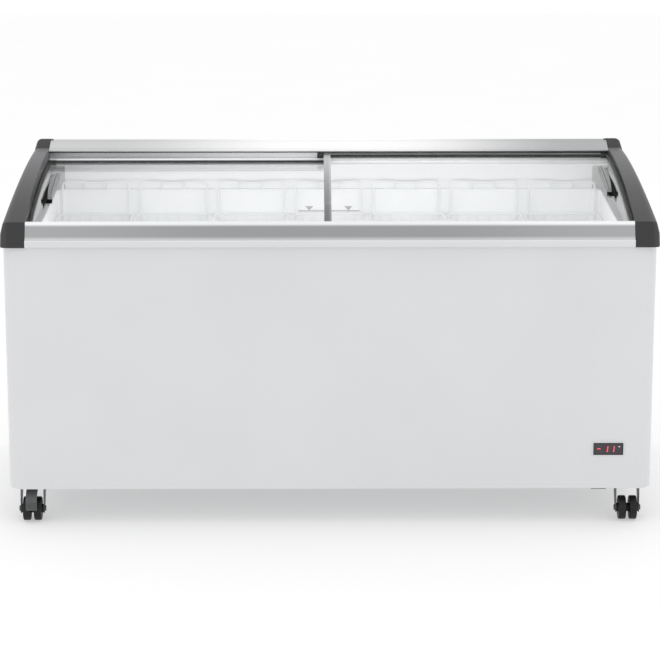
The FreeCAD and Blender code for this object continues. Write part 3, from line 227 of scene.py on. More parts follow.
screw_steel, t = new_finish("zinc screw")
surface(t, {
    "Base Color": t.noise(400.0).tint((0.55, 0.55, 0.56), (0.7, 0.7, 0.71)),
    "Metallic": 1.0,
    "Roughness": 0.3 + t.noise(700.0) * 0.1,
})

sheet_low, sheet_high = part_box("rear_panel")


def rear_screws(shape):
    """Pan-head screws round the back sheet's edge."""
    wide = sheet_high.x - sheet_low.x - 2 * SCREW_IN
    places = [(sheet_low.x + SCREW_IN + wide * i / SCREWS_ALONG, z) for i in range(SCREWS_ALONG + 1)
              for z in (sheet_low.z + SCREW_IN, sheet_high.z - SCREW_IN)]
    places += [(x, sheet_low.z + SCREW_PITCH_UP * i) for i in range(1, SCREWS_UP)
               for x in (sheet_low.x + SCREW_IN, sheet_high.x - SCREW_IN)]
    for x, z in places:
        outline = [(-0.0004, SCREW_HEAD), (SCREW_RISE * 0.4, SCREW_HEAD)]
        outline += [(SCREW_RISE * 0.8, SCREW_HEAD * 0.8), (SCREW_RISE, SCREW_HEAD * 0.42)]
        outline += [(SCREW_RISE * 0.55, SCREW_HEAD * 0.3)]
        lathe(shape, (x, sheet_high.y, z), (0, 1, 0), outline, 16)


mesh_piece("rear_screws", rear_screws, screw_steel, "cabinet", smooth=35)


# ------------------------------------------------------------ liner and foam
# The tub is white pre-painted aluminium sheet, folded with a step over the machine bay.
# Polyurethane foam poured between tub and wrap holds both, with a white plastic collar on top.

liner_white, t = new_finish("white tub sheet")
soft = t.noise(5.0, 2.0)
stucco = t.noise(420.0, 1.0)
surface(t, {
    "Base Color": soft.tint((0.80, 0.81, 0.82), (0.84, 0.845, 0.855)),
    "Roughness": 0.42 + soft * 0.1,
    "Normal": t.bump(stucco, 0.08, 0.0005),
})
paint("inner_liner", liner_white)

foam, t = new_finish("cream foam")
cells = t.make("TexVoronoi", {}, {"Vector": t.place(), "Scale": 260.0})
surface(t, {
    "Base Color": cells.tint((0.78, 0.68, 0.42), (0.66, 0.56, 0.32)),
    "Roughness": 0.9,
    "Normal": t.bump(cells, 0.6, 0.002),
})
paint("foam_insulation", foam)

collar_white, t = new_finish("white moulded plastic")
grain = t.noise(700.0, 2.0)
surface(t, {
    "Base Color": t.noise(4.0).tint((0.78, 0.785, 0.79), (0.83, 0.835, 0.84)),
    "Roughness": 0.38 + grain * 0.1,
    "Normal": t.bump(grain, 0.15, 0.0003),
})
paint("collar_frame", collar_white)

trim_white, t = new_finish("pale trim plastic")
grain = t.noise(700.0, 2.0)
surface(t, {
    "Base Color": t.noise(4.0).tint((0.68, 0.685, 0.70), (0.72, 0.725, 0.735)),
    "Roughness": 0.42 + grain * 0.1,
    "Normal": t.bump(grain, 0.15, 0.0003),
})
paint("front_trim", trim_white)

MARK_COLOUR = (0.22, 0.17, 0.19)
MARK_Z = 0.6725
MARK_WIDE = 0.0030
MARK_REACH = 0.083
MARK_ARROW = 0.0115
MARK_ARROW_HALF = 0.011
MARK_ARROW_AT = 0.053
MARK_Y = 0.2824

mark_ink, t = new_finish("load line print")
surface(t, {"Base Color": t.noise(500.0).tint(MARK_COLOUR, (0.27, 0.22, 0.24)), "Roughness": 0.55})


def flat(shape, points, y, thick=0.0005):
    """A thin plate facing front, from its outline in X and Z."""
    front = [shape.verts.new((x, y, z)) for x, z in points]
    back = [shape.verts.new((x, y + thick, z)) for x, z in points]
    shape.faces.new(front)
    shape.faces.new(back[::-1])
    for i in range(len(points)):
        j = (i + 1) % len(points)
        shape.faces.new((front[i], back[i], back[j], front[j]))


def load_line(shape):
    """A printed line with two small arrows that stand on it, at the rear wall."""
    low, high = MARK_Z - MARK_WIDE, MARK_Z
    line = [(-MARK_REACH, low), (MARK_REACH, low), (MARK_REACH, high), (-MARK_REACH, high)]
    flat(shape, line, MARK_Y)
    for x in (-MARK_ARROW_AT, MARK_ARROW_AT):
        top = [(x + MARK_ARROW_HALF, MARK_Z + MARK_ARROW), (x - MARK_ARROW_HALF, MARK_Z + MARK_ARROW)]
        flat(shape, [(x, MARK_Z)] + top, MARK_Y)


mesh_piece("load_line_mark", load_line, mark_ink, "cabinet")


# ------------------------------------------------------- side bows and caps
# Each side of the glass is framed by a charcoal moulded bow that ends in an upright block in front,
# painted darker as shade.
# A separate corner cap closes it behind. A thin grey lining strip runs inside under the glass.

# CHARCOAL_FRONT is the bows' colour in painted shade and CHARCOAL_REAR in painted light.
CHARCOAL_FRONT = (0.034, 0.034, 0.036)
CHARCOAL_REAR = (0.105, 0.105, 0.110)
CAP_DARK = (0.024, 0.024, 0.025)


def charcoal_plastic(name, front, rear, rough):
    """Moulded charcoal plastic with painted light: paler towards the back (less on the right bow), a
    painted highlight on the outer edge and corners, and painted shade on the upright front block.
    """
    material, t = new_finish(name)
    grain = t.noise(1300.0, 2.0)
    edge_mask = t.outer_corner_mask(0.0012)
    outer = t.maths("ABSOLUTE", t.along(0)).band(0.785, 0.806)
    block = 1 - t.along(2).band(0.7735, 0.7750)
    back = t.along(1).band(-0.34, 0.30) * (1 - t.along(0).band(0.70, 0.75) * 0.25)
    # Painted light: paler towards the back, less on the right bow; painted highlight on outer edge and
    # corners; painted shade on the front block.
    tone = back + t.noise(9.0, 2.0) * 0.12 + edge_mask * 0.25 + outer * 0.4 - block * 0.25
    surface(t, {
        "Base Color": tone.tint(front, rear),
        "Roughness": rough + grain * 0.14 - edge_mask * 0.08,
        "Specular IOR Level": 0.3,
        "Normal": t.bump(grain, 0.35, 0.0003),
    })
    return material


charcoal = charcoal_plastic("charcoal plastic", CHARCOAL_FRONT, CHARCOAL_REAR, 0.36)
# The caps take a copy of the charcoal, painted darker as shade.
shaded_charcoal = charcoal_plastic("charcoal plastic in painted shade", CAP_DARK, CHARCOAL_FRONT, 0.42)
for side in ("left", "right"):
    paint("bow_" + side, charcoal)
    paint("rear_cap_" + side, shaded_charcoal)

lining_grey, t = new_finish("grey lining strip")
surface(t, {
    "Base Color": t.noise(6.0).tint((0.30, 0.305, 0.31), (0.36, 0.365, 0.37)),
    "Roughness": 0.45 + t.noise(600.0) * 0.1,
})


COVER_IN = 0.7334
COVER_THICK = 0.0014
PLATE_IN = 0.7130
PLATE_BACK = 0.2935
PLATE_TOP = 0.7965
PLATE_CUT = 0.0030
FILLET = [(PLATE_IN, 0.2870), (0.7290, 0.2850), (COVER_IN, 0.2700)]


def lining_cover(hand):
    """Folded grey strip over the tub's side ledge, with an upright plate at its rear corner."""
    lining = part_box("side_lining_right")
    outer = lining[0].x - 0.0002
    low = lining[0].z + 0.0003

    def build(shape):
        plan = [(COVER_IN, lining[0].y), (outer, lining[0].y), (outer, PLATE_BACK)]
        plan += [(PLATE_IN, PLATE_BACK)] + FILLET
        upright = [(PLATE_IN, low), (outer, low), (outer, PLATE_TOP)]
        upright += [(PLATE_IN + PLATE_CUT, PLATE_TOP), (PLATE_IN, PLATE_TOP - PLATE_CUT)]
        sheets = [[(x, y, z) for x, y in plan] for z in (low, low + COVER_THICK)]
        plates = [[(x, y, z) for x, z in upright] for y in (PLATE_BACK - COVER_THICK, PLATE_BACK)]
        for near, far in (sheets, plates):
            first = [shape.verts.new((hand * x, y, z)) for x, y, z in near]
            second = [shape.verts.new((hand * x, y, z)) for x, y, z in far]
            shape.faces.new(first)
            shape.faces.new(second[::-1])
            for i in range(len(first)):
                j = (i + 1) % len(first)
                shape.faces.new((first[i], second[i], second[j], first[j]))

    return build


for side, hand in (("left", -1), ("right", 1)):
    paint("side_lining_" + side, lining_grey)
    mesh_piece("lining_cover_" + side, lining_cover(hand), lining_grey, "cabinet")


# ------------------------------------------------------------ lid rails
# Two long extrusions of satin anodised aluminium carry the lids in front and behind.
# Their surface keeps fine lines along the length from the die and the polishing.

def satin_rail(name, tone_of, dark, pale, foot=0.0):
    """Satin aluminium whose tone runs from dark to pale as tone_of gives; below foot it is not metallic,
    so a pale tone there paints light into shade.
    """
    material, t = new_finish(name)
    above_foot = t.along(2).band(foot - 0.001, foot)
    drawn = t.noise(1.0, 3.0, (0.12, 900.0, 900.0))
    surface(t, {
        "Base Color": (tone_of(t) + (drawn - 0.5) * 0.22).tint(dark, pale),
        "Metallic": above_foot * 0.85,
        "Roughness": 0.42 - above_foot * 0.15 + drawn * 0.12,
        "Normal": t.bump(drawn, 0.2, 0.0002),
    })
    return material


def front_tone(t):
    """Painted reflection: a bright lip, a duller hollow below it, a paler foot and paler ends."""
    z = t.along(2)
    ends = t.maths("ABSOLUTE", t.along(0)).band(0.2, 0.75)
    return z.band(0.764, 0.772) * 0.9 + (1 - z.band(0.733, 0.743)) * 0.50 + ends * 0.12


def rear_tone(t):
    """Painted reflection, brightest at mid length and darker towards the ends, most on the right, with
    three fine darker lines; painted light below the foot, where the lower slot lies in shade.
    """
    middle = 1 - t.maths("ABSOLUTE", t.along(0) - 0.02).band(0.10, 0.62)
    y = t.along(1)
    lines = 0
    for at in (0.2790, 0.2880, 0.3300):
        near = 1 - t.maths("ABSOLUTE", y - at).band(0.0003, 0.0013)
        lines = near + lines
    far_end = t.along(0).band(0.25, 0.72) * 0.3
    # Painted light in the lower slot, which lies in shade.
    foot = (1 - t.along(2).band(0.8165, 0.8175)) * 0.8
    return middle * 0.65 + 0.35 - lines * 0.5 - far_end + foot


front_satin = satin_rail("satin front rail", front_tone, (0.33, 0.335, 0.34), (0.92, 0.925, 0.93))
paint("front_rail", front_satin)
rear_satin = satin_rail("satin rear rail", rear_tone, (0.38, 0.385, 0.39), (0.93, 0.93, 0.935), 0.8175)
paint("rear_rail", rear_satin)


pile_black, t = new_finish("black brush pile")
fibres = t.noise(1.0, 1.0, (2600.0, 300.0, 300.0))
surface(t, {
    "Base Color": fibres.tint((0.010, 0.010, 0.010), (0.030, 0.030, 0.031)),
    "Roughness": 0.85,
    "Specular IOR Level": 0.2,
})
PILE_TOP = 0.8361
PILE_HIGH = 0.0034
PILE_FRONT = 0.2752
PILE_WIDE = 0.0024
PILE_STEPS = 240


def rear_brush(shape):
    """A strip of pile clipped under the rear rail's front lip; its black also paints the shade in the
    gap under the lip.
    """
    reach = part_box("rear_rail")[1].x - 0.001
    rings = []
    for i in range(PILE_STEPS + 1):
        x = -reach + 2 * reach * i / PILE_STEPS
        low = PILE_TOP - PILE_HIGH + 0.0004 * (i % 2)
        rings.append([
            shape.verts.new((x, y, z))
            for y, z in (
                (PILE_FRONT, PILE_TOP), (PILE_FRONT + 0.0003, low),
                (PILE_FRONT + PILE_WIDE, low), (PILE_FRONT + PILE_WIDE, PILE_TOP),
            )
        ])
    for here, there in zip(rings, rings[1:]):
        for i in range(4):
            shape.faces.new((here[i], here[(i + 1) % 4], there[(i + 1) % 4], there[i]))
    shape.faces.new(rings[0])
    shape.faces.new(rings[-1])


mesh_piece("rear_brush", rear_brush, pile_black, "cabinet")


# -------------------------------------------------------------- sliding lids
# Each lid is one pane of bent tempered glass in clipped-on grey profiles, with an aluminium
# stile at the middle and soft black corner blocks that slide in the rail.

pane_clear, t = new_finish("bent clear glass")
smudge = t.noise(7.0, 4.0).band(0.5, 0.8)
through = t.make("BsdfTransparent", {}, {"Color": (0.995, 0.997, 0.997, 1.0)})
shine = t.make(
    "BsdfPrincipled",
    {},
    {"Base Color": (0.95, 0.96, 0.96, 1.0), "Metallic": 1.0, "Roughness": 0.02 + smudge * 0.05},
)
fresnel = t.make("Fresnel", {}, {"IOR": 1.45})
surface(t, t.make("MixShader", {}, {0: fresnel * 0.35 + 0.004, 1: through, 2: shine}))

profile_grey, t = new_finish("grey lid profile")
length_lines = t.noise(1.0, 2.0, (2.0, 600.0, 600.0))
surface(t, {
    "Base Color": length_lines.tint((0.40, 0.405, 0.41), (0.52, 0.525, 0.53)),
    "Roughness": 0.36 + length_lines * 0.1,
})

stile_metal, t = new_finish("satin stile")
drawn = t.noise(1.0, 3.0, (900.0, 3.0, 30.0))
# Painted light: dark at the front and paler towards the back, with the right half painted paler as a
# highlight.
tone = t.along(1).band(-0.32, 0.26) * 0.8 + drawn * 0.2 + t.along(0).band(-0.002, 0.0) * 0.25
surface(t, {
    "Base Color": tone.tint((0.10, 0.102, 0.108), (0.52, 0.525, 0.535)),
    "Metallic": 0.8,
    "Roughness": 0.3 + drawn * 0.12,
    "Normal": t.bump(drawn, 0.2, 0.0002),
})
for side in ("left", "right"):
    paint("lid_glass_" + side, pane_clear)
    paint("lid_front_profile_" + side, profile_grey)
    paint("lid_rear_profile_" + side, profile_grey)
    paint("lid_stile_" + side, stile_metal)


seal_black, t = new_finish("black lid seal")
grain = t.noise(800.0, 2.0)
surface(t, {
    "Base Color": t.noise(30.0).tint((0.018, 0.018, 0.019), (0.035, 0.035, 0.036)),
    "Roughness": 0.5 + grain * 0.15,
    "Normal": t.bump(grain, 0.3, 0.0003),
})

CURVE_MIDDLE = -1.1365
CURVE_APEX = 0.185
PANE_TOP = {"left": 1.948, "right": 1.965}


def on_curve(radius, y):
    """Height of the lid's arc of this radius at y."""
    return CURVE_MIDDLE + math.sqrt(radius ** 2 - (y - CURVE_APEX) ** 2)


def curved_strip(shape, near, far, y0, y1, low, high, steps=24):
    """A solid strip that follows the pane between two edges, each a function of y."""
    rings = []
    for i in range(steps + 1):
        y = y0 + (y1 - y0) * i / steps
        a, b = near(y), far(y)
        corners = ((a, low), (b, low), (b, high), (a, high))
        rings.append([shape.verts.new((x, y, on_curve(r, y))) for x, r in corners])
    for here, there in zip(rings, rings[1:]):
        for i in range(4):
            j = (i + 1) % 4
            shape.faces.new((here[i], here[j], there[j], there[i]))
    shape.faces.new(rings[0][::-1])
    shape.faces.new(rings[-1])


SEAL_IN = 0.7438
SEAL_OUT = 0.7512
SEAL_FROM_FRONT = 0.0060
SEAL_BELOW = 0.0060
SEAL_ABOVE = 0.0016
BLOCK_IN = 0.7322
BLOCK_OUT = 0.7513
BLOCK_FRONT = 0.2600
BLOCK_BACK = 0.2894
BLOCK_BELOW = 0.0083
BLOCK_ABOVE = 0.0034
GASKET_FRONT = 0.2676
GASKET_BACK = 0.2708
GASKET_BELOW = 0.0055
GASKET_ABOVE = 0.0022
STILE_BLOCK_LEFT = -0.0310
STILE_BLOCK_RIGHT = -0.0125
LAP = 0.0020  # of a block over the seal


def lid_rubber(side):
    """End seal, rear corner block and rear gasket of a lid, and the stile's block on the right one."""
    hand = -1 if side == "left" else 1
    top = PANE_TOP[side]
    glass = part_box("lid_glass_" + side)

    def build(shape):
        # The black end seal also paints the shade line along the bow's inner face.
        curved_strip(
            shape, lambda y: hand * SEAL_IN, lambda y: hand * SEAL_OUT,
            glass[0].y + SEAL_FROM_FRONT, BLOCK_FRONT + LAP, top - SEAL_BELOW, top + SEAL_ABOVE,
        )
        curved_strip(
            shape, lambda y: hand * BLOCK_IN, lambda y: hand * BLOCK_OUT,
            BLOCK_FRONT, BLOCK_BACK, top - BLOCK_BELOW, top + BLOCK_ABOVE, 4,
        )
        curved_strip(
            shape, lambda y: glass[0].x + 0.001, lambda y: glass[1].x - 0.001,
            GASKET_FRONT, GASKET_BACK, top - GASKET_BELOW, top + GASKET_ABOVE, 2,
        )
        if side == "right":
            curved_strip(
                shape, lambda y: STILE_BLOCK_LEFT, lambda y: STILE_BLOCK_RIGHT,
                BLOCK_FRONT + LAP, BLOCK_BACK, top - SEAL_BELOW, top + BLOCK_ABOVE, 4,
            )

    piece = mesh_piece("lid_seal_" + side, build, seal_black, "lid_" + side)
    bevel = piece.modifiers.new("soft edges", "BEVEL")
    bevel.width = 0.0008
    bevel.segments = 2


for side in ("left", "right"):
    lid_rubber(side)


# -------------------------------------------------------------- lid handles
# A flush pull is let into each pane near its outer end: an arched grey moulding with a double ribbed
# grip bar, painted paler on its edges as highlight, and a finger hollow coloured near-black as painted
# shade, that widens towards the front.

pull_grey, t = new_finish("grey pull plastic")
grain = t.noise(1100.0, 2.0)
edge_mask = t.outer_corner_mask(0.0008)
# Painted highlight: outer edges and corners paler.
surface(t, {
    "Base Color": (t.noise(60.0) * 0.4 + edge_mask * 0.7).tint((0.13, 0.132, 0.136), (0.46, 0.465, 0.47)),
    "Roughness": 0.36 + grain * 0.12,
    "Normal": t.bump(grain, 0.25, 0.0003),
})

hollow_black, t = new_finish("unlit hollow")
surface(t, {
    "Base Color": t.noise(200.0).tint((0.004, 0.004, 0.004), (0.008, 0.008, 0.008)),
    "Roughness": 0.8,
    "Specular IOR Level": 0.1,
})

PULL_IN = 0.7060
PULL_BACK = 0.1050
PULL_FRONT = -0.1180
HOLLOW_BACK = 0.0550
RIB_PITCH = 0.0042
GRIP_WIDE = 0.0105
GRIP_RISE = 0.0058
GRIP_FADE = 0.0100
RIB_WIDE = 0.0012
MOULDING_DEEP = 0.0078
MOULDING_PROUD = 0.0015
RIM_WIDE = 0.0022
END_WALL = 0.0050
TAIL_BACK = -0.1228
TAIL_LONG = 0.0400
TAIL_IN = 0.7190
TAIL_OUT = 0.7310


def pull_edge(y):
    """Outboard edge of the moulding: a bow that widens forwards."""
    along = (PULL_BACK - y) / (PULL_BACK - PULL_FRONT)
    return 0.7190 + 0.0150 * math.sin(min(1.0, max(0.0, along)) * math.pi / 2) ** 0.8


def hollow_in(y):
    """Inboard edge of the finger hollow: it flares towards the front."""
    along = max(0.0, (HOLLOW_BACK - y) / (HOLLOW_BACK - PULL_FRONT))
    edge = pull_edge(y) - RIM_WIDE
    return edge + (0.7174 - edge) * along ** 1.1


def lid_pull(side):
    """Moulding, grip and hollow of one lid's pull."""
    hand = -1 if side == "left" else 1
    top = PANE_TOP[side]

    def rim(y):
        return hand * (pull_edge(y) - RIM_WIDE)

    def edge(y):
        return hand * pull_edge(y)

    def inner(y):
        return hand * PULL_IN

    def moulding(shape):
        low, high = top - MOULDING_DEEP, top + MOULDING_PROUD
        curved_strip(shape, inner, edge, HOLLOW_BACK, PULL_BACK, low, high)
        curved_strip(shape, inner, lambda y: hand * hollow_in(y), PULL_FRONT, HOLLOW_BACK, low, high)
        curved_strip(shape, rim, edge, PULL_FRONT, HOLLOW_BACK, low, high)

    def ribs(shape):
        low, high = top + 0.0010, top + GRIP_RISE + 0.0012
        for start in (0.0022, 0.0082):
            curved_strip(
                shape,
                lambda y: hand * (PULL_IN + start),
                lambda y: hand * (PULL_IN + start + RIB_WIDE),
                PULL_FRONT + 0.014, PULL_BACK - 0.010, low, high,
            )

    def hollow(shape):
        low, high = top - 0.0076, top - 0.0012
        curved_strip(shape, lambda y: hand * hollow_in(y), rim, PULL_FRONT, HOLLOW_BACK, low, high)
        curved_strip(shape, inner, edge, PULL_FRONT - END_WALL, PULL_FRONT, low, top + MOULDING_PROUD, 2)
        # A black tail on the glass in front of the hollow is painted shade.
        curved_strip(
            shape,
            lambda y: hand * (TAIL_IN + 0.0045 * (TAIL_BACK - y) / TAIL_LONG),
            lambda y: hand * (TAIL_OUT - 0.0055 * (TAIL_BACK - y) / TAIL_LONG),
            TAIL_BACK - TAIL_LONG, TAIL_BACK, top - 0.001, top + 0.0010, 6,
        )

    def grip(shape):
        front, back = PULL_FRONT + 0.006, PULL_BACK - 0.002
        steps = int((back - front) / RIB_PITCH * 4)
        across = [(0.0, 0.0), (0.06, 0.62), (0.2, 0.97), (0.36, 0.9), (0.47, 0.45), (0.53, 0.45)]
        across += [(0.64, 0.9), (0.8, 0.97), (0.94, 0.62), (1.0, 0.0)]
        rings = []
        for i in range(steps + 1):
            y = front + (back - front) * i / steps
            fade = min(1.0, (y - front) / GRIP_FADE, (back - y) / GRIP_FADE)
            rib = 0.0007 * (1 if i % 4 in (0, 1) else 0)
            tall = GRIP_RISE * math.sqrt(max(0.0, 1 - (1 - fade) ** 2)) - rib
            ring = []
            for place, share in across:
                x = hand * (PULL_IN + 0.0006 + GRIP_WIDE * place)
                ring.append(shape.verts.new((x, y, on_curve(top + 0.0010 + max(0.0, tall * share), y))))
            rings.append(ring)
        for here, there in zip(rings, rings[1:]):
            for i in range(len(across) - 1):
                shape.faces.new((here[i], here[i + 1], there[i + 1], there[i]))

    body = "lid_" + side
    pull = mesh_piece("lid_pull_" + side, moulding, pull_grey, body)
    bevel = pull.modifiers.new("soft edges", "BEVEL")
    bevel.width = 0.0006
    bevel.segments = 2
    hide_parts("lid_handle_" + side)
    mesh_piece("lid_pull_hollow_" + side, hollow, hollow_black, body)
    mesh_piece("lid_pull_grip_" + side, grip, pull_grey, body, smooth=40)
    mesh_piece("lid_pull_ribs_" + side, ribs, stile_metal, body)


for side in ("left", "right"):
    lid_pull(side)


# ------------------------------------------------------------------- baskets
# Seven baskets of steel wire, welded and dipped in white plastic, hang side by side on the
# tub's ledge by loops of thicker wire at each end.

wire_coat, t = new_finish("white dipped wire")
surface(t, {
    "Base Color": t.noise(30.0).tint((0.70, 0.705, 0.715), (0.78, 0.785, 0.79)),
    "Roughness": 0.3 + t.noise(300.0) * 0.1,
    "Coat Weight": 0.2,
})

RIM_WIRE = 0.0026
THIN_WIRE = 0.0014
HANGER_WIRE = 0.0028
HANGER_HALF = 0.089
RIM_Z = 0.669
BASKET_LOW = 0.481
BASKET_FRONT = -0.262
BASKET_BACK = 0.265
BASKET_TAPER = 0.010
BASKET_CORNER = 0.018
CROSS_WIRES = 19
LONG_WIRES = 6
WIRE_BEND = 0.010
HANGER_TOP = 0.754
HANGER_FOOT = 0.020
HANGER_BEND = 0.012
KINK = 0.0065
LEDGE_Z = 0.7313
LEDGE_FRONT = -0.286
LEDGE_BACK = 0.289
HOOK_HALF = 0.030


def wire_run(curve, points, radius, closed=False, bend=0.0):
    """One straight-run wire, with its corners rounded to the bend radius."""
    points = [Vector(p) for p in points]
    shaped = []
    count = len(points)
    for i, point in enumerate(points):
        if bend and (closed or 0 < i < count - 1):
            before, after = points[i - 1], points[(i + 1) % count]
            first = (before - point).normalized()
            second = (after - point).normalized()
            cut = min(bend, (before - point).length / 2, (after - point).length / 2)
            for k in range(5):
                s = k / 4
                a, b = point + first * cut, point + second * cut
                shaped.append(a * (1 - s) ** 2 + point * 2 * s * (1 - s) + b * s ** 2)
        else:
            shaped.append(point)
    spline = curve.splines.new("POLY")
    spline.points.add(len(shaped) - 1)
    for place, point in zip(spline.points, shaped):
        place.co = (*point, 1.0)
        place.radius = radius
    spline.use_cyclic_u = closed


def basket(index):
    """All the wires of one basket, in one piece."""
    node = f"basket_{index}"
    low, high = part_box(node)
    x0, x1 = low.x + RIM_WIRE, high.x - RIM_WIRE
    centre = (x0 + x1) / 2
    y0, y1 = BASKET_FRONT + RIM_WIRE, BASKET_BACK - RIM_WIRE
    taper = BASKET_TAPER
    curve = bpy.data.curves.new(node + "_wires", "CURVE")
    curve.dimensions = "3D"
    curve.bevel_depth = 1.0
    curve.bevel_resolution = 2
    curve.use_fill_caps = True
    bottom = BASKET_LOW + THIN_WIRE

    def loop(inset, z, radius):
        corners = [(x0 + inset, y0 + inset, z), (x1 - inset, y0 + inset, z)]
        corners += [(x1 - inset, y1 - inset, z), (x0 + inset, y1 - inset, z)]
        wire_run(curve, corners, radius, closed=True, bend=BASKET_CORNER)

    loop(0.0, RIM_Z - RIM_WIRE, RIM_WIRE)
    loop(taper * 0.25, RIM_Z - 0.040, THIN_WIRE * 1.4)
    loop(taper * 0.6, RIM_Z - 0.100, THIN_WIRE * 1.2)
    loop(taper, bottom, THIN_WIRE * 1.6)
    across = CROSS_WIRES + 1
    for i in range(1, across):
        y = y0 + taper + (y1 - y0 - 2 * taper) * i / across
        rim_y = y0 + (y1 - y0) * i / across
        wire_run(
            curve,
            [(x0, rim_y, RIM_Z - RIM_WIRE), (x0 + taper, y, bottom), (x1 - taper, y, bottom),
             (x1, rim_y, RIM_Z - RIM_WIRE)],
            THIN_WIRE, bend=WIRE_BEND,
        )
    along = LONG_WIRES + 1
    for i in range(1, along):
        x = x0 + taper + (x1 - x0 - 2 * taper) * i / along
        rim_x = x0 + (x1 - x0) * i / along
        wire_run(
            curve,
            [(rim_x, y0, RIM_Z - RIM_WIRE), (x, y0 + taper, bottom), (x, y1 - taper, bottom),
             (rim_x, y1, RIM_Z - RIM_WIRE)],
            THIN_WIRE, bend=WIRE_BEND,
        )
    hook_z = LEDGE_Z + HANGER_WIRE
    ends = ((y0, -1, hook_z, LEDGE_FRONT), (y1, 1, HANGER_TOP, LEDGE_BACK))
    for wall, out, top, ledge in ends:
        y = wall + out * (RIM_WIRE + HANGER_WIRE)
        left, right = centre - HANGER_HALF, centre + HANGER_HALF
        third = HANGER_HALF / 3
        points = [(left, y, RIM_Z - HANGER_FOOT), (left, y, top)]
        points += [(centre - third - KINK, y, top), (centre - third, y + out * KINK, top - KINK * 0.6)]
        points += [(centre + third, y + out * KINK, top - KINK * 0.6), (centre + third + KINK, y, top)]
        points += [(right, y, top), (right, y, RIM_Z - HANGER_FOOT)]
        wire_run(curve, points, HANGER_WIRE, bend=HANGER_BEND)
        for x in (centre - HOOK_HALF, centre + HOOK_HALF):
            wire_run(
                curve,
                [(x, y, top), (x, y + out * 0.004, hook_z), (x, ledge, hook_z)],
                HANGER_WIRE * 0.8, bend=0.003,
            )
    holder = bpy.data.objects.new(node + "_wires", curve)
    bpy.context.scene.collection.objects.link(holder)
    graph = bpy.context.evaluated_depsgraph_get()
    data = bpy.data.meshes.new_from_object(holder.evaluated_get(graph))
    bpy.data.objects.remove(holder)
    piece = bpy.data.objects.new(node + "_wires", data)
    bpy.context.scene.collection.objects.link(piece)
    data.shade_smooth()
    paint(piece, wire_coat)
    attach(piece, node)
    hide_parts(node)


for index in range(1, 8):
    basket(index)


# ---------------------------------------------------------------- thermostat
# A snap-in digital controller low on the right of the front: a dark frame with a thin white
# edge, a smoked window in it, and a red minus sign and two digits behind it.

EDGE_WIDE = 0.0012

bezel_dark, t = new_finish("dark bezel with white edge")
low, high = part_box("thermostat_bezel")
from_side = (high.x - low.x) / 2 - t.maths("ABSOLUTE", t.along(0) - (low.x + high.x) / 2)
from_top = (high.z - low.z) / 2 - t.maths("ABSOLUTE", t.along(2) - (low.z + high.z) / 2)
inside = t.maths("MINIMUM", from_side, from_top).band(EDGE_WIDE - 0.0002, EDGE_WIDE)
white = t.noise(40.0).tint((0.74, 0.745, 0.75), (0.8, 0.8, 0.81))
surface(t, {
    "Base Color": inside.tint(white, (0.026, 0.024, 0.027)),
    "Roughness": 0.3 + t.noise(900.0) * 0.1,
})
paint("thermostat_bezel", bezel_dark)

window_dark, t = new_finish("smoked window")
surface(t, {
    "Base Color": t.noise(60.0).tint((0.018, 0.014, 0.020), (0.030, 0.022, 0.030)),
    "Roughness": 0.12 + t.noise(200.0) * 0.08,
    "Coat Weight": 0.4,
})
paint("thermostat_window", window_dark)

case_black, t = new_finish("black case plastic")
grain = t.noise(900.0)
surface(t, {
    "Base Color": t.noise(20.0).tint((0.025, 0.025, 0.026), (0.045, 0.045, 0.047)),
    "Roughness": 0.42 + grain * 0.15,
    "Normal": t.bump(grain, 0.3, 0.0003),
})
for node in ("thermostat_housing", "vent_grille", "cord_gland", "drain_spout"):
    paint(node, case_black)

digit_red, t = new_finish("lit red segments")
surface(t, {
    "Base Color": (0.5, 0.02, 0.03, 1.0),
    "Emission Color": t.noise(900.0).tint((1.0, 0.07, 0.12), (1.0, 0.14, 0.19)),
    "Emission Strength": 1.3,
})

low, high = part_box("thermostat_window")
DIGIT_HIGH = 0.0152
DIGIT_LEAN = 0.0016
STROKE = 0.0018
display_y = low.y - 0.0003
display_x = (low.x + high.x) / 2
display_z = (low.z + high.z) / 2


def minus_eleven(shape):
    """A minus sign and two leaning ones, each of two strokes."""
    left, right = display_x - 0.0280, display_x - 0.0198
    low, high = display_z - STROKE / 2, display_z + STROKE / 2
    flat(shape, [(left, low), (right, low), (right, high), (left, high)], display_y)
    for x in (display_x - 0.0025, display_x + 0.0135):
        for foot, head in ((-0.57, -0.08), (-0.04, 0.45)):
            a, b = x + DIGIT_LEAN * foot, x + DIGIT_LEAN * head
            low, high = display_z + DIGIT_HIGH * foot, display_z + DIGIT_HIGH * head
            stroke = [(a, low), (a + STROKE, low), (b + STROKE, high), (b, high)]
            flat(shape, stroke, display_y)


mesh_piece("display_digits", minus_eleven, digit_red, "cabinet")

icon_white, t = new_finish("white display print")
surface(t, {"Base Color": t.noise(900.0).tint((0.75, 0.72, 0.74), (0.85, 0.83, 0.85)), "Roughness": 0.5})


def status_icon(shape):
    """A small bent arrow lit at the window's upper right."""
    x, z = display_x + 0.0268, display_z + 0.0056
    points = [(x - 0.0034, z + 0.0012), (x + 0.0030, z + 0.0012), (x + 0.0008, z - 0.0030)]
    flat(shape, points + [(x + 0.0002, z - 0.0006)], display_y)


mesh_piece("display_icon", status_icon, icon_white, "cabinet")


# --------------------------------------------------------------- machine bay
# A sealed black compressor on rubber feet, a finned condenser with its fan, a copper drier
# and copper pipes sit behind the rear grille; the evaporator tube lies in the foam.

compressor_paint, t = new_finish("black compressor paint")
drip = t.noise(60.0, 3.0)
surface(t, {
    "Base Color": drip.tint((0.02, 0.02, 0.02), (0.035, 0.035, 0.036)),
    "Roughness": 0.3 + drip * 0.15,
    "Normal": t.bump(drip, 0.15, 0.001),
})
paint("compressor", compressor_paint)

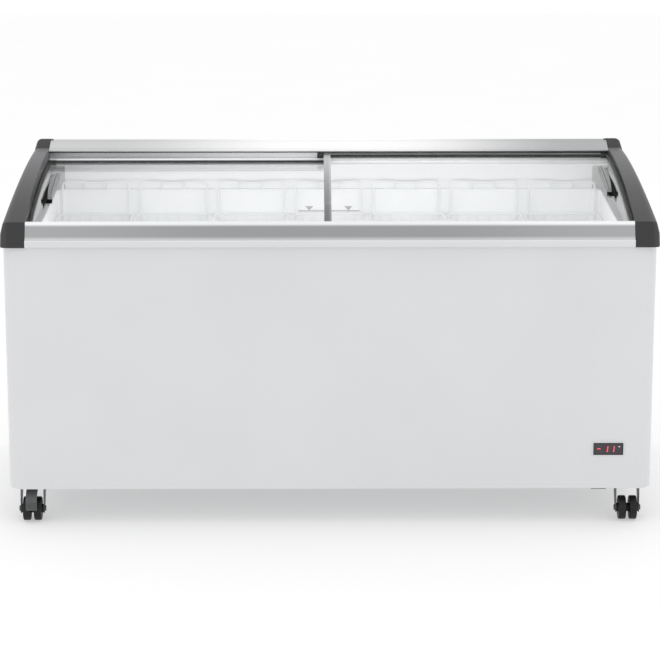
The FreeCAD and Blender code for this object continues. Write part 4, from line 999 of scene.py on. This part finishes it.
black_rubber, t = new_finish("black rubber")
dull = t.noise(300.0, 3.0)
surface(t, {
    "Base Color": dull.tint((0.022, 0.022, 0.022), (0.045, 0.044, 0.043)),
    "Roughness": 0.68 + dull * 0.15,
    "Normal": t.bump(dull, 0.2, 0.0005),
})
paint("compressor_grommets", black_rubber)
paint("drain_plug", black_rubber)

bare_fins, t = new_finish("bare aluminium fins")
surface(t, {
    "Base Color": t.noise(80.0).tint((0.55, 0.56, 0.57), (0.68, 0.69, 0.7)),
    "Metallic": 1.0,
    "Roughness": 0.35 + t.noise(250.0) * 0.2,
})
paint("condenser_coil", bare_fins)
paint("fan_shroud", galvanised)

copper, t = new_finish("drawn copper")
tarnish = t.noise(25.0, 4.0).band(0.4, 0.75)
surface(t, {
    "Base Color": tarnish.tint((0.68, 0.34, 0.20), (0.36, 0.17, 0.10)),
    "Metallic": 1.0,
    "Roughness": 0.25 + tarnish * 0.25,
})
for node in ("filter_drier", "refrigerant_lines", "evaporator_coil"):
    paint(node, copper)

fan_grey, t = new_finish("grey moulded nylon")
grain = t.noise(800.0, 2.0)
surface(t, {
    "Base Color": t.noise(30.0).tint((0.07, 0.072, 0.075), (0.10, 0.102, 0.105)),
    "Roughness": 0.42 + grain * 0.15,
    "Normal": t.bump(grain, 0.25, 0.0003),
})
paint("fan_blade", fan_grey)

plated_dark, t = new_finish("dark plated steel")
mottle = t.noise(120.0, 3.0)
edge_mask = t.outer_corner_mask(0.0008)
# Paler at the outer corners and edges.
surface(t, {
    "Base Color": (mottle * 0.4 + edge_mask * 0.6).tint((0.05, 0.052, 0.055), (0.16, 0.16, 0.165)),
    "Metallic": 0.6,
    "Roughness": 0.36 + mottle * 0.15,
})
paint("fan_motor", plated_dark)


# ------------------------------------------------------------------- casters
# Four twin-wheel casters, bolted under the corners: pressed plate, folded fork on a swivel,
# hard rubber wheels on one axle. Two have a foot brake in grey nylon.

paint("caster_plates", plated_dark)
paint("caster_bolts", screw_steel)

tread, t = new_finish("hard black wheel")
scuffs = t.noise(90.0, 4.0).band(0.45, 0.75)
surface(t, {
    "Base Color": scuffs.tint((0.007, 0.007, 0.0075), (0.020, 0.020, 0.0205)),
    "Roughness": 0.45 + scuffs * 0.25,
    "Specular IOR Level": 0.3,
    "Normal": t.bump(t.noise(500.0, 2.0), 0.2, 0.0004),
})
for corner in ("front_left", "front_right", "rear_left", "rear_right"):
    paint("caster_fork_" + corner, plated_dark)
    paint("caster_wheels_" + corner, tread)

RIB_LOW = 0.0395
RIB_STEP = 0.0045
RIB_TALL = 0.0016
RIB_OUT = 0.0011


def pedal_ribs(corner, facing):
    """Four moulded ribs across a brake pedal's foot end."""
    low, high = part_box("brake_pedal_" + corner)
    face = low.y if facing < 0 else high.y

    def build(shape):
        for i in range(4):
            z = RIB_LOW + i * RIB_STEP
            x0, x1 = low.x + 0.002, high.x - 0.002
            outline = [(x0, z), (x1, z), (x1, z + RIB_TALL), (x0, z + RIB_TALL)]
            flat(shape, outline, face + min(0.0, facing * RIB_OUT), RIB_OUT)

    mesh_piece("pedal_ribs_" + corner, build, fan_grey, "brake_pedal_" + corner)


for corner, facing in (("front_left", -1), ("rear_right", 1)):
    paint("brake_pedal_" + corner, fan_grey)
    pedal_ribs(corner, facing)


# -------------------------------------------------------- floor, light, view
# A seamless pale floor, softly lit from below, under a broad overhead light.
# A long low lamp under the lids brightens the tub.

floor_pale, t = new_finish("pale floor")
surface(t, {
    "Base Color": t.noise(2.0).tint((0.54, 0.54, 0.54), (0.56, 0.56, 0.56)),
    "Roughness": 0.8,
    "Emission Color": (1.0, 1.0, 1.0, 1.0),
    "Emission Strength": 0.40,
})
data = bpy.data.meshes.new("floor")
data.from_pydata([(-9, -9, 0), (9, -9, 0), (9, 9, 0), (-9, 9, 0)], [], [(0, 1, 2, 3)])
floor = bpy.data.objects.new("floor", data)
bpy.context.scene.collection.objects.link(floor)
paint(floor, floor_pale)

world = bpy.data.worlds.new("studio")
world.use_nodes = True
world.node_tree.nodes["Background"].inputs["Color"].default_value = (1.0, 1.0, 1.0, 1.0)
world.node_tree.nodes["Background"].inputs["Strength"].default_value = 1.0
bpy.context.scene.world = world
bpy.context.scene.view_settings.view_transform = "Standard"


def soft_light(name, place, aim, wide, high, power):
    """A rectangular lamp turned towards a point."""
    lamp = bpy.data.lights.new(name, "AREA")
    lamp.shape = "RECTANGLE"
    lamp.size = wide
    lamp.size_y = high
    lamp.energy = power
    holder = bpy.data.objects.new(name, lamp)
    bpy.context.scene.collection.objects.link(holder)
    holder.location = place
    holder.rotation_euler = (Vector(aim) - Vector(place)).to_track_quat("-Z", "Y").to_euler()
    return holder


soft_light("overhead", (0.0, 0.2, 3.6), (0.0, 0.0, 0.5), 4.5, 3.0, 25.0)
tub_light = soft_light("tub_light", (0.0, -0.20, 0.745), (0.0, 0.30, 0.72), 1.30, 0.12, 2.75)
tub_light.visible_camera = False
tub_light.visible_glossy = False

EYE = (-0.0373, -6.4802, 2.1399)
LOOK_DOWN = 0.2347
LOOK_ASIDE = -0.0060
FOCAL = 139.33
RISE = -0.1

view = bpy.data.cameras.new("view")
view.sensor_width = 36.0
view.lens = FOCAL
view.shift_y = RISE
camera = bpy.data.objects.new("view", view)
bpy.context.scene.collection.objects.link(camera)
camera.location = EYE
camera.rotation_euler = (math.pi / 2 - LOOK_DOWN, 0.0, LOOK_ASIDE)
bpy.context.scene.camera = camera
